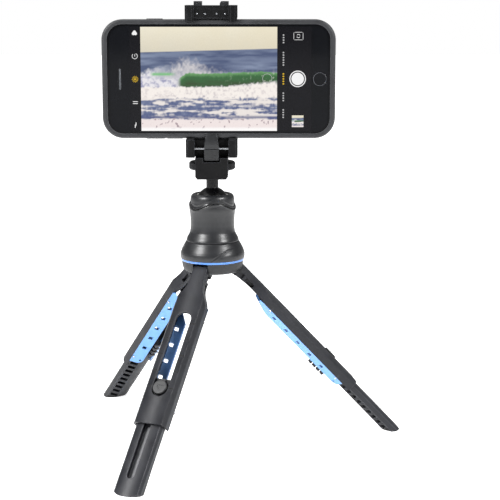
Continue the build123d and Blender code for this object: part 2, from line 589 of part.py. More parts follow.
def key_box(name, grow=0.0, reach=0.0):
    """Room of a key in the case wall."""
    left, right, edge, proud = key_places()[name]
    proud += reach
    inner = KEY_DEEP + grow
    low, high = (edge - proud, edge + inner) if edge == PHONE_LOW else (edge - inner, edge + proud)
    return block(left - grow, right + grow, -8.0 - grow, -4.4 + grow, low, high)


def phone_case():
    """Soft case: open in front, with a lip over the glass and holes for the lens, port and keys."""
    tall = PHONE_HIGH - PHONE_LOW
    body = rounded_slab(CASE_LONG, tall, CASE_CORNER, CASE_FRONT, CASE_BACK)
    body = fillet(body.edges().group_by(Axis.Y)[-1], 2.6)
    body = fillet(body.edges().group_by(Axis.Y)[0], 1.6)
    body -= rounded_slab(BODY_LONG, BODY_TALL, BODY_CORNER, GLASS_FRONT, BODY_BACK)
    body -= rounded_slab(WINDOW_LONG, WINDOW_TALL, BODY_CORNER - 0.9, CASE_FRONT - 1, GLASS_FRONT + 1)
    for name in key_places():
        body -= key_box(name, KEY_GAP, 3.0)
    eye = Pos((LENS_X + LAMP_X) / 2, LENS_Z) * SlotOverall(LAMP_X - LENS_X + 13.0, 12.4)
    body -= along_y(eye, BODY_BACK - 0.1, 1)
    body -= block(PHONE_X + BODY_LONG / 2 - 1, 90, -8.4, -3.9, PHONE_Z - 6.0, PHONE_Z + 6.0)
    return body


def phone_housing():
    """Metal tray of the phone."""
    body = rounded_slab(BODY_LONG, BODY_TALL, BODY_CORNER, BODY_FRONT, BODY_BACK)
    body -= rounded_slab(BODY_LONG - 2.4, BODY_TALL - 2.4, BODY_CORNER - 1.2, BODY_FRONT - 1, BODY_BACK - 1.2)
    body -= block(PHONE_X + BODY_LONG / 2 - 3, 90, -7.2, -4.8, PHONE_Z - 4.3, PHONE_Z + 4.3)
    body -= rod_y(LENS_R, BODY_BACK - 2, 1, LENS_X, LENS_Z)
    return body - rod_y(1.8, BODY_BACK - 2, 1, LAMP_X, LENS_Z)


def front_glass():
    """Cover glass with the home button's hole and the ear slot."""
    body = rounded_slab(GLASS_LONG, GLASS_TALL, BODY_CORNER - 0.2, GLASS_FRONT, BODY_FRONT)
    body -= rod_y(HOME_R + 0.15, GLASS_FRONT - 1, BODY_FRONT + 1, HOME_X, PHONE_Z)
    ear = Pos(EAR_X, PHONE_Z) * Rot(0, 0, 90) * SlotOverall(EAR_LONG, EAR_WIDE)
    return body - along_y(ear, GLASS_FRONT - 1, BODY_FRONT + 1)


def earpiece_grille():
    """Mesh strip in the ear slot."""
    ear = Pos(EAR_X, PHONE_Z) * Rot(0, 0, 90) * SlotOverall(EAR_LONG, EAR_WIDE)
    return along_y(ear, GLASS_FRONT + 0.2, BODY_FRONT)


def home_button():
    """Round key under the display."""
    return rod_y(HOME_R, GLASS_FRONT + 0.15, BODY_FRONT + 0.6, HOME_X, PHONE_Z)


def display_panel():
    """Display behind the glass."""
    half_long, half_tall = DISPLAY_LONG / 2, DISPLAY_TALL / 2
    return block(DISPLAY_X - half_long, DISPLAY_X + half_long, BODY_FRONT, BODY_FRONT + 1.3,
                 PHONE_Z - half_tall, PHONE_Z + half_tall)


def battery():
    """Battery cell in the tray."""
    return block(-18.0, 52.0, BODY_FRONT + 1.4, BODY_BACK - 1.2, PHONE_Z - 27, PHONE_Z + 9)


def logic_board():
    """Circuit board beside the cell, with its two largest chips."""
    board = block(-50.0, 52.0, BODY_FRONT + 2.4, BODY_FRONT + 3.2, PHONE_Z + 10, PHONE_Z + 30)
    chips = block(-10.0, 4.0, BODY_FRONT + 1.6, BODY_FRONT + 2.4, PHONE_Z + 13, PHONE_Z + 27)
    chips += block(12.0, 22.0, BODY_FRONT + 1.6, BODY_FRONT + 2.4, PHONE_Z + 15, PHONE_Z + 25)
    return board + chips


def rear_camera():
    """Lens barrel that stands out of the back."""
    body = rod_y(LENS_R, BODY_BACK - 2.0, BODY_BACK + 0.9, LENS_X, LENS_Z)
    return body - rod_y(LENS_R - 1.2, BODY_BACK + 0.5, BODY_BACK + 2, LENS_X, LENS_Z)


def rear_lamp():
    """Lamp beside the lens."""
    return rod_y(1.8, BODY_BACK - 1.2, BODY_BACK, LAMP_X, LENS_Z)


def fixed_nodes():
    """Every node that isn't part of a leg."""
    nodes = {
        "leg_hub": leg_hub(), "hub_bottom_cap": hub_bottom_cap(), "centre_bolt": centre_bolt(),
        "accent_ring": accent_ring(), "base_skirt": base_skirt(), "lock_sleeve": lock_sleeve(),
        "lock_cap": lock_cap(), "ball_seat": ball_seat(), "ball_stud": ball_stud(),
        "base_block": base_block(), "thumb_wheel": thumb_wheel(), "threaded_bush": threaded_bush(),
        "lower_jaw": lower_jaw(), "lower_jaw_pads": lower_jaw_pads(), "hook_pin": hook_pin(),
        "hook_spring": hook_spring(), "retaining_hook": retaining_hook(), "clamp_back": clamp_back(),
        "guide_rods": guide_rods(), "jaw_spring": jaw_spring(), "upper_jaw": upper_jaw(),
        "upper_jaw_pad": upper_jaw_pad(), "cold_shoe": cold_shoe(), "shoe_screws": shoe_screws(),
        "phone_case": phone_case(), "phone_housing": phone_housing(), "front_glass": front_glass(),
        "earpiece_grille": earpiece_grille(), "home_button": home_button(),
        "display_panel": display_panel(), "battery": battery(), "logic_board": logic_board(),
        "rear_camera": rear_camera(), "rear_lamp": rear_lamp(),
    }
    for name in key_places():
        nodes[name] = fillet(key_box(name).edges().filter_by(Axis.Z), 0.8)
    return nodes


def leg_nodes():
    """The seven nodes of each leg."""
    makers = {"upper": leg_upper, "wings": leg_wings, "wing_screws": leg_screws, "lower": leg_lower,
              "button": leg_button, "button_spring": leg_button_spring, "pin": leg_pin}
    drawn = {part: make() for part, make in makers.items()}
    nodes = {}
    for side, azimuth in LEG_AZIMUTH.items():
        for part, shape in drawn.items():
            nodes[f"{side}_leg_{part}"] = open_leg(azimuth) * shape
    return nodes


def main():
    """Write every node."""
    os.makedirs("parts", exist_ok=True)
    for name, shape in {**fixed_nodes(), **leg_nodes()}.items():
        export_step(ROW * shape, f"parts/{name}.step")


main()
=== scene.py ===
"""Looks of a table tripod with a ball head, a spring clamp and a phone that serves as its camera.

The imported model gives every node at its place. Classes stand for the sub-assemblies: each one dresses
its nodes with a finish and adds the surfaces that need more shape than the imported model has.
Lengths are written in millimetres and turned to metres where a mesh is made.
"""

import json
import logging
import math
from dataclasses import dataclass, field, replace
from enum import Enum
from typing import Any, Dict, Iterable, List, Optional, Sequence, Tuple

import bpy
import numpy as np
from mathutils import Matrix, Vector


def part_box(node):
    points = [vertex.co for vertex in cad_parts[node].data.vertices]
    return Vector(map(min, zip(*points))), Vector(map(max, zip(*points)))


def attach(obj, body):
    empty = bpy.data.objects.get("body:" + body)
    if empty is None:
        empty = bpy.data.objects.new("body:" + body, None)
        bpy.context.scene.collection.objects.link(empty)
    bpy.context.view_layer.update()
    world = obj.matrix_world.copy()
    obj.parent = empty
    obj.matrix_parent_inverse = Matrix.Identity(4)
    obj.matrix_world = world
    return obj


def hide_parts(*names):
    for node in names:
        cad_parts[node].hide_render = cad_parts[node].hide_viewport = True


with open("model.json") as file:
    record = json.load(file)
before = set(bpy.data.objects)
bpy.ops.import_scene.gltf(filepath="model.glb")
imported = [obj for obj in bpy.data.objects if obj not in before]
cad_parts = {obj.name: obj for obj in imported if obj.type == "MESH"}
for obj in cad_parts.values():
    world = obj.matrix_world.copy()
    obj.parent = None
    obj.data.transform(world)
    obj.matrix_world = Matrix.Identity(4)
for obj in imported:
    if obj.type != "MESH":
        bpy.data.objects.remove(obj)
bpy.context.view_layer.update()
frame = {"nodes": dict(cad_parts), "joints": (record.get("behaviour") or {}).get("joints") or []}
LOG = logging.getLogger("tripod")
MM = 0.001
SIDES = ("front", "right", "left")
INSIDE = 0.9999        # keeps a place in its last cell
OCTAVE_FALL = 0.55     # weight of each finer lattice over the one before
WAVE_SCALE = 3.2       # bands of the wave texture in one unit at scale 1, nearly


# ------------------------------------------------------------------ helpers
def linear(colour: str) -> Tuple[float, float, float, float]:
    """Turns an sRGB hex colour to linear red, green, blue and alpha.

    Args:
        colour: text such as "#4a4c52".

    Returns:
        Four linear values.
    """
    srgb = np.array([int(colour[i:i + 2], 16) for i in (1, 3, 5)]) / 255.0
    values = np.where(srgb <= 0.04045, srgb / 12.92, ((srgb + 0.055) / 1.055) ** 2.4)
    return (*values.tolist(), 1.0)


def add_node(tree: bpy.types.NodeTree, kind: str, settings: Optional[Dict[Any, Any]] = None,
             links: Optional[Dict[Any, Any]] = None) -> bpy.types.Node:
    """Adds one shader node.

    Args:
        tree: the material's node tree.
        kind: the node's type name.
        settings: properties of the node, or values of its sockets by name or number.
        links: output sockets to join to its input sockets.

    Returns:
        The new node.
    """
    node = tree.nodes.new(kind)
    for key, value in (settings or {}).items():
        if isinstance(key, str) and hasattr(node, key):
            setattr(node, key, value)
        else:
            node.inputs[key].default_value = value
    for key, source in (links or {}).items():
        tree.links.new(source, node.inputs[key])
    return node


def axis_point() -> Vector:
    """Point on the floor under the head's upright axis, read from the turned sleeve's box."""
    low, high = (Vector(corner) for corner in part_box("lock_sleeve"))
    return Vector(((low.x + high.x) / 2, (low.y + high.y) / 2, 0.0))


AXIS = axis_point()


def put(name: str, points: np.ndarray, faces: np.ndarray, smooth: bool = True) -> bpy.types.Object:
    """Makes an object from points in metres.

    Args:
        name: name of the piece.
        points: array of n by 3 coordinates in the row's frame.
        faces: array of four point numbers a face.
        smooth: whether the faces shade smoothly.

    Returns:
        The object, linked to the scene.
    """
    mesh = bpy.data.meshes.new(name)
    mesh.from_pydata(points.tolist(), [], faces.tolist())
    mesh.polygons.foreach_set("use_smooth", np.full(len(mesh.polygons), smooth))
    mesh.update()
    piece = bpy.data.objects.new(name, mesh)
    bpy.context.scene.collection.objects.link(piece)
    return piece


def grid_faces(rows: int, columns: int, wrap_rows: bool = False, wrap_columns: bool = False) -> np.ndarray:
    """Numbers the quads of a grid: each joins a point, its right neighbour and the two above them.

    Args:
        rows: number of rows of points.
        columns: number of points in a row.
        wrap_rows: whether the last row joins the first.
        wrap_columns: whether the last column joins the first.

    Returns:
        Array of four point numbers a face.
    """
    i = np.arange(rows if wrap_rows else rows - 1)
    j = np.arange(columns if wrap_columns else columns - 1)
    i, j = np.meshgrid(i, j, indexing="ij")
    up, right = (i + 1) % rows, (j + 1) % columns
    quads = np.stack([i * columns + j, i * columns + right, up * columns + right, up * columns + j], -1)
    return quads.reshape(-1, 4)


def bell(value: np.ndarray, centre: Any, width: float) -> np.ndarray:
    """Soft bump: e to the power of minus the squared distance from the centre over the width."""
    return np.exp(-((value - centre) / width) ** 2)


def ease(value: np.ndarray, low: float, high: float) -> np.ndarray:
    """Smooth step from 0 at low to 1 at high: three t squared minus two t cubed."""
    t = np.clip((value - low) / (high - low), 0.0, 1.0)
    return t * t * (3 - 2 * t)


def lattice_noise(p: np.ndarray, q: np.ndarray, across: int, down: int, seed: int,
                  octaves: int = 4) -> np.ndarray:
    """Cloudy values from 0 to 1: random lattices of doubling fineness, blended smoothly and summed.

    Args:
        p: places across, 0 to 1.
        q: places down, 0 to 1.
        across: cells of the coarsest lattice across.
        down: cells of the coarsest lattice down.
        seed: seed of the random lattices.
        octaves: number of lattices.

    Returns:
        An array of the places' shape.
    """
    rng = np.random.default_rng(seed)
    total, weight, norm = np.zeros_like(p), 1.0, 0.0
    for _ in range(octaves):
        cells = rng.random((down + 2, across + 2))
        x, y = np.clip(p, 0, INSIDE) * across, np.clip(q, 0, INSIDE) * down
        xi, yi = x.astype(int), y.astype(int)
        fx, fy = ease(x - xi, 0, 1), ease(y - yi, 0, 1)
        upper = cells[yi, xi] * (1 - fx) + cells[yi, xi + 1] * fx
        lower = cells[yi + 1, xi] * (1 - fx) + cells[yi + 1, xi + 1] * fx
        total += weight * (upper * (1 - fy) + lower * fy)
        norm += weight
        weight, across, down = weight * OCTAVE_FALL, across * 2, down * 2
    return total / norm


def tint(colour: str) -> np.ndarray:
    """Linear red, green and blue of an sRGB hex colour."""
    return np.array(linear(colour)[:3])


def mixed(base: np.ndarray, top: np.ndarray, amount: np.ndarray) -> np.ndarray:
    """Mixes two colours: base times one minus the amount, plus top times the amount, held to 0 to 1."""
    amount = np.clip(amount, 0, 1)[..., None]
    return base * (1 - amount) + top * amount


# ------------------------------------------------------------------ finishes
class Texture(Enum):
    """How a surface was made, which decides its fine pattern."""

    SPARKED = "pebbled grain of a spark-eroded mould"
    CLOUDED = "even grain with soft clouds"
    LINED = "lines left by turning, drawing or brushing"
    MESHED = "square mesh"


@dataclass(frozen=True)
class Finish:
    """One real material and how it was made.

    The grain is a bump of one texture, the tone drifts between two colours over a few millimetres,
    the gloss drifts with it, outer edges are rounded and rubbed paler, and hollows are darkened
    with painted shade from an ambient occlusion node.
    A crown is a direction, the place of the middle along it and a slope in metres for each square
    metre: it bends the normal as a face does that falls off to both sides.
    """

    name: str
    colour: str
    shade: str
    roughness: float
    grain_mm: float = 0.5
    depth_mm: float = 0.02
    texture: Texture = Texture.SPARKED
    stretch: Tuple[float, float, float] = (1.0, 1.0, 1.0)
    patch_mm: float = 9.0
    drift: float = 0.10
    rubbed: str = "#6b6d72"
    rub: float = 0.5
    round_mm: float = 0.45
    metallic: float = 0.0
    ior: float = 1.5
    specular: float = 0.5
    coat: float = 0.0
    coat_roughness: float = 0.1
    sheen: float = 0.0
    # Painted shade in hollows: how far the occlusion looks in millimetres, and the darkest factor it scales
    # the colour to.
    painted_shade_mm: float = 6.0
    painted_shade: float = 0.45
    crown: Optional[Tuple[Tuple[float, float, float], float, float]] = None

    def _height(self, tree: bpy.types.NodeTree, place: Any) -> Any:
        """Adds the fine pattern.

        Args:
            tree: the material's node tree.
            place: socket of the stretched place.

        Returns:
            The pattern's height socket.
        """
        fine = 1.0 / (self.grain_mm * MM)
        if self.texture is Texture.SPARKED:
            cells = add_node(tree, "ShaderNodeTexVoronoi",
                             {"feature": "SMOOTH_F1", "Scale": fine, "Smoothness": 0.6}, {"Vector": place})
            return cells.outputs["Distance"]
        if self.texture is Texture.MESHED:
            weft, warp = (add_node(tree, "ShaderNodeTexWave",
                                   {"bands_direction": axis, "Scale": fine / WAVE_SCALE}, {"Vector": place})
                          for axis in "XZ")
            both = add_node(tree, "ShaderNodeMath", {"operation": "MAXIMUM"},
                            {0: weft.outputs["Fac"], 1: warp.outputs["Fac"]})
            return both.outputs[0]
        detail = 2.0 if self.texture is Texture.LINED else 5.0
        grain = add_node(tree, "ShaderNodeTexNoise", {"Scale": fine, "Detail": detail, "Roughness": 0.6},
                         {"Vector": place})
        return grain.outputs["Fac"]

    def _crowned(self, tree: bpy.types.NodeTree, spot: Any, normal: Any) -> bpy.types.Node:
        """Bends the normal: height is minus the slope times the squared distance from the middle.

        Args:
            tree: the material's node tree.
            spot: socket of the place on the object.
            normal: socket of the normal to bend.

        Returns:
            The bump node.
        """
        direction, middle, slope = self.crown
        across = add_node(tree, "ShaderNodeVectorMath", {"operation": "DOT_PRODUCT", 1: direction}, {0: spot})
        off = add_node(tree, "ShaderNodeMath", {"operation": "SUBTRACT", 1: middle},
                       {0: across.outputs["Value"]}).outputs[0]
        square = add_node(tree, "ShaderNodeMath", {"operation": "MULTIPLY"}, {0: off, 1: off})
        height = add_node(tree, "ShaderNodeMath", {"operation": "MULTIPLY", 1: -slope},
                          {0: square.outputs[0]})
        return add_node(tree, "ShaderNodeBump", {"Strength": 1.0, "Distance": 1.0},
                        {"Height": height.outputs[0], "Normal": normal})

    def _skin(self, tree: bpy.types.NodeTree, height: Any, cloud: Any, rounded: Any) -> Any:
        """Adds the colour: two tones by cloud and grain, paler on rubbed edges, and painted shade in hollows.

        Args:
            tree: the material's node tree.
            height: socket of the fine pattern.
            cloud: socket of the soft clouds.
            rounded: socket of the normal over rounded edges.

        Returns:
            The colour's socket.
        """
        speck = add_node(tree, "ShaderNodeMath", {"operation": "MULTIPLY_ADD", 1: 0.35},
                         {0: height, 2: cloud})
        blend = add_node(tree, "ShaderNodeMapRange", {"From Min": 0.38, "From Max": 0.86},
                         {"Value": speck.outputs[0]})
        body = add_node(tree, "ShaderNodeMix",
                        {"data_type": "RGBA", 6: linear(self.shade), 7: linear(self.colour)},
                        {0: blend.outputs["Result"]})
        facing = add_node(tree, "ShaderNodeNewGeometry").outputs["Normal"]
        turn = add_node(tree, "ShaderNodeVectorMath", {"operation": "DOT_PRODUCT"}, {0: rounded, 1: facing})
        edge = add_node(tree, "ShaderNodeMapRange", {"From Min": 0.995, "From Max": 0.86, "To Max": self.rub},
                        {"Value": turn.outputs["Value"]})
        worn = add_node(tree, "ShaderNodeMath", {"operation": "MULTIPLY"},
                        {0: edge.outputs["Result"], 1: cloud})
        skin = add_node(tree, "ShaderNodeMix", {"data_type": "RGBA", 7: linear(self.rubbed)},
                        {0: worn.outputs[0], 6: body.outputs[2]})
        # Painted shade: ambient occlusion darkens the colour in hollows, creases and under other parts.
        open_sky = add_node(tree, "ShaderNodeAmbientOcclusion",
                            {"samples": 6, "Distance": self.painted_shade_mm * MM})
        hollow_shade = add_node(tree, "ShaderNodeMapRange",
                        {"From Min": 0.25, "From Max": 0.85, "To Min": self.painted_shade},
                        {"Value": open_sky.outputs["AO"]})
        shaded = add_node(tree, "ShaderNodeVectorMath", {"operation": "SCALE"},
                          {0: skin.outputs[2], "Scale": hollow_shade.outputs["Result"]})
        return shaded.outputs[0]

    def material(self) -> bpy.types.Material:
        """Builds the node material, once for each finish.

        Returns:
            The material.
        """
        known = bpy.data.materials.get(self.name)
        if known:
            return known
        made = bpy.data.materials.new(self.name)
        made.use_nodes = True
        tree = made.node_tree
        tree.nodes.clear()
        spot = add_node(tree, "ShaderNodeTexCoord").outputs["Object"]
        place = add_node(tree, "ShaderNodeMapping", {"Scale": self.stretch}, {"Vector": spot})
        height = self._height(tree, place.outputs["Vector"])
        cloud = add_node(tree, "ShaderNodeTexNoise",
                         {"Scale": 1.0 / (self.patch_mm * MM), "Detail": 4.0, "Roughness": 0.55},
                         {"Vector": spot}).outputs["Fac"]
        rounded = add_node(tree, "ShaderNodeBevel", {"samples": 4, "Radius": self.round_mm * MM})
        skin = self._skin(tree, height, cloud, rounded.outputs["Normal"])
        gloss = add_node(tree, "ShaderNodeMapRange",
                         {"From Min": 0.3, "From Max": 0.7, "To Min": max(self.roughness - self.drift, 0.02),
                          "To Max": min(self.roughness + self.drift, 1.0)}, {"Value": cloud})
        bump = add_node(tree, "ShaderNodeBump", {"Strength": 1.0, "Distance": self.depth_mm * MM},
                        {"Height": height, "Normal": rounded.outputs["Normal"]})
        if self.crown:
            bump = self._crowned(tree, spot, bump.outputs["Normal"])
        shader = add_node(tree, "ShaderNodeBsdfPrincipled",
                          {"Metallic": self.metallic, "IOR": self.ior, "Specular IOR Level": self.specular,
                           "Coat Weight": self.coat, "Coat Roughness": self.coat_roughness,
                           "Sheen Weight": self.sheen},
                          {"Base Color": skin, "Roughness": gloss.outputs["Result"],
                           "Normal": bump.outputs["Normal"]})
        add_node(tree, "ShaderNodeOutputMaterial", {}, {"Surface": shader.outputs[0]})
        return made


def dress(target: Any, finish: Finish) -> None:
    """Gives a node or a new piece its finish.

    Args:
        target: name of a node, or an object.
        finish: the finish to show.
    """
    piece = frame["nodes"][target] if isinstance(target, str) else target
    piece.data.materials.clear()
    piece.data.materials.append(finish.material())


# ABS from a spark-eroded mould: matt, with a fine pebble that breaks up highlights.
LEG_ABS = Finish("abs_spark_eroded_grey", "#1b1c21", "#131418", 0.46, grain_mm=0.55, depth_mm=0.045,
                 rubbed="#4c4e54", rub=0.45, specular=0.30, round_mm=1.1)
# The sliding lower leg in the same plastic, polished pale along its edges where it runs in the shell.
LOWER_ABS = Finish("abs_rubbed_grey", "#1d1e23", "#15161a", 0.44, grain_mm=0.55, depth_mm=0.035,
                   rubbed="#85878d", rub=0.8, specular=0.30, round_mm=0.7)
# Bottom of the groove: the same plastic, smoother, painted paler as painted light, with paler edges as
# painted highlights.
GROOVE_PAINTED_LIGHT = Finish("abs_groove_painted_pale", "#4a4b50", "#3c3d42", 0.34, grain_mm=0.5, depth_mm=0.015,
                    rubbed="#9a9ca2", rub=0.6, specular=0.4, round_mm=0.15, painted_shade=0.7)
# Dull black of the length marks, on low pads over the shallow mould marks.
MARK_BLACK = Finish("length_mark_dull_black", "#0c0c0d", "#070708", 0.60, grain_mm=0.3, depth_mm=0.01,
                  rubbed="#1c1c1e", rub=0.3, specular=0.2, round_mm=0.05)
# The same moulding in a darker batch, for the hub and its cap.
HUB_ABS = Finish("abs_spark_eroded_dark", "#1b1c1e", "#141516", 0.52, grain_mm=0.55, depth_mm=0.04,
                 rubbed="#5d5f64", rub=0.35, specular=0.4)
# Tinted ABS, satin mould: even pale blue with a soft gloss, with deep painted shade where it lies inside the
# hollow leg.
BLUE_ABS = Finish("abs_satin_pale_blue", "#6a9ddc", "#5c90d2", 0.40, grain_mm=0.8, depth_mm=0.01,
                  texture=Texture.CLOUDED, rubbed="#b9d6fb", rub=0.7, round_mm=0.25,
                  painted_shade_mm=14.0, painted_shade=0.10)
# Polished blue polycarbonate: a thin band that takes bright reflections.
RING_PC = Finish("polycarbonate_polished_blue", "#3a74c2", "#3069b4", 0.22, grain_mm=1.2, depth_mm=0.004,
                 texture=Texture.CLOUDED, rubbed="#9cc6fb", rub=0.6, coat=0.6, coat_roughness=0.05)
# Soft-touch lacquer over ABS: satin, with broad soft highlights and a slight bloom at grazing angles.
SOFT_TOUCH = Finish("soft_touch_lacquer_black", "#141518", "#0f1012", 0.36, grain_mm=0.4, depth_mm=0.008,
                    texture=Texture.CLOUDED, drift=0.05, rubbed="#3a3b40", rub=0.4, sheen=0.02, specular=0.45)
# Glass-filled nylon, moulded: deep black, matt, with a fine pebble and greyed edges.
CLAMP_PA = Finish("glass_filled_nylon_black", "#070708", "#040405", 0.48, grain_mm=0.45, depth_mm=0.035,
                  rubbed="#4a4c52", rub=0.9, specular=0.14, round_mm=0.5)
# Moulded acetal: slippery black button.
BUTTON_POM = Finish("acetal_moulded_black", "#17181a", "#101112", 0.36, grain_mm=0.5, depth_mm=0.02,
                    rubbed="#54565b", rub=0.8, round_mm=0.4, specular=0.4)
# Steel ball with a black satin coat: fine turning lines under a soft gloss.
BALL_STEEL = Finish("coated_steel_black_satin", "#060607", "#030304", 0.30, grain_mm=0.5,
                    depth_mm=0.004, texture=Texture.LINED, stretch=(0.05, 0.05, 1.0), rubbed="#2c2e33",
                    rub=0.4, specular=0.25)
# Natural nylon: waxy, slightly cloudy off-white.
NYLON = Finish("nylon_natural", "#d8d9d2", "#c6c7bf", 0.34, grain_mm=1.5, depth_mm=0.01,
               texture=Texture.CLOUDED, rubbed="#f0f0ea", rub=0.4)
# Turned and drawn steel: bright, with fine lines along or around the piece.
PIN_STEEL = Finish("steel_drawn_bright", "#b9bcc0", "#9ea1a6", 0.24, grain_mm=0.3, depth_mm=0.006,
                   texture=Texture.LINED, stretch=(0.04, 1.0, 1.0), metallic=1.0, rubbed="#d8dade", rub=0.4,
                   round_mm=0.15)
WIRE_STEEL = Finish("spring_wire_drawn", "#8c8f94", "#6f7277", 0.30, grain_mm=0.25, depth_mm=0.006,
                    texture=Texture.LINED, metallic=1.0, rubbed="#b5b8bd", rub=0.3, round_mm=0.05)
# Turned brass: warm, ringed by the tool.
BRASS = Finish("brass_turned", "#c19a55", "#a8843f", 0.28, grain_mm=0.35, depth_mm=0.008,
               texture=Texture.LINED, stretch=(0.04, 0.04, 1.0), metallic=1.0, rubbed="#e0bd7c", rub=0.5,
               round_mm=0.15)
# Black anodised sheet: dark metal with a brushed drift and bright worn corners.
SHOE_SHEET = Finish("aluminium_sheet_anodised_black", "#1d1e20", "#141517", 0.32, grain_mm=0.35,
                    depth_mm=0.008, texture=Texture.LINED, stretch=(1.0, 0.05, 1.0), metallic=0.4,
                    rubbed="#74777c", rub=0.7, round_mm=0.3)
# Soft rubber: dull and dusty.
PAD_RUBBER = Finish("rubber_pad_black", "#17171a", "#101012", 0.75, grain_mm=0.7, depth_mm=0.05,
                    rubbed="#3a3b3e", rub=0.5, specular=0.25)
# Silicone of the case: matt dark grey with a faint dusty bloom.
CASE_SILICONE = Finish("silicone_case_dark", "#1f2023", "#191a1c", 0.50, grain_mm=0.45, depth_mm=0.02,
                       rubbed="#57595e", rub=0.5, sheen=0.08, specular=0.35, round_mm=0.6)
# Bead-blasted, black anodised aluminium.
PHONE_METAL = Finish("aluminium_blasted_black", "#232427", "#1b1c1e", 0.38, grain_mm=0.3, depth_mm=0.008,
                     texture=Texture.CLOUDED, metallic=0.7, rubbed="#606368", rub=0.5)
# Cover glass with a black-printed back and an anti-reflection coat, so it stays deep black.
COVER_GLASS = Finish("cover_glass_black_backed", "#0b0c0f", "#08090b", 0.06, grain_mm=4.0, depth_mm=0.0005,
                     texture=Texture.CLOUDED, drift=0.03, rubbed="#1c1e22", rub=0.4, ior=1.24, patch_mm=30.0,
                     round_mm=0.2)
# Satin black ring round the home key, just paler than the glass.
HOME_RING = Finish("steel_satin_black_ring", "#2c2e33", "#222429", 0.35, grain_mm=0.3, depth_mm=0.004,
                   texture=Texture.CLOUDED, rubbed="#45484e", rub=0.4, round_mm=0.1)
# Fine black steel mesh of the ear slot, drawn coarser than the real 0.1 mm so that it shows.
EAR_MESH = Finish("steel_mesh_black", "#5d6064", "#2a2c2f", 0.40, grain_mm=0.35, depth_mm=0.08,
                  texture=Texture.MESHED, metallic=0.6, rubbed="#7a7d82", rub=0.3, round_mm=0.1)
# Solder mask over copper: glossy green with faint traces.
BOARD = Finish("solder_mask_green", "#14502c", "#0e3d21", 0.30, grain_mm=1.2, depth_mm=0.03,
               texture=Texture.MESHED, rubbed="#3d8a5c", rub=0.5)
# Battery cell in a foil pouch: dark, slightly wrinkled.
CELL_FOIL = Finish("pouch_cell_foil", "#2b2c2e", "#1d1e20", 0.45, grain_mm=3.0, depth_mm=0.06,
                   texture=Texture.CLOUDED, rubbed="#55585c", rub=0.4)
# Coated lens in its barrel.
LENS = Finish("lens_coated", "#0a0b14", "#05060b", 0.08, grain_mm=3.0, depth_mm=0.002,
              texture=Texture.CLOUDED, rubbed="#38405c", rub=0.5, coat=1.0, coat_roughness=0.03)
# Frosted diffuser of the lamp.
DIFFUSER = Finish("acrylic_frosted_warm", "#efe6c6", "#ddd2ab", 0.35, grain_mm=0.5, depth_mm=0.02,
                  rubbed="#fff8e0", rub=0.4, round_mm=0.1)


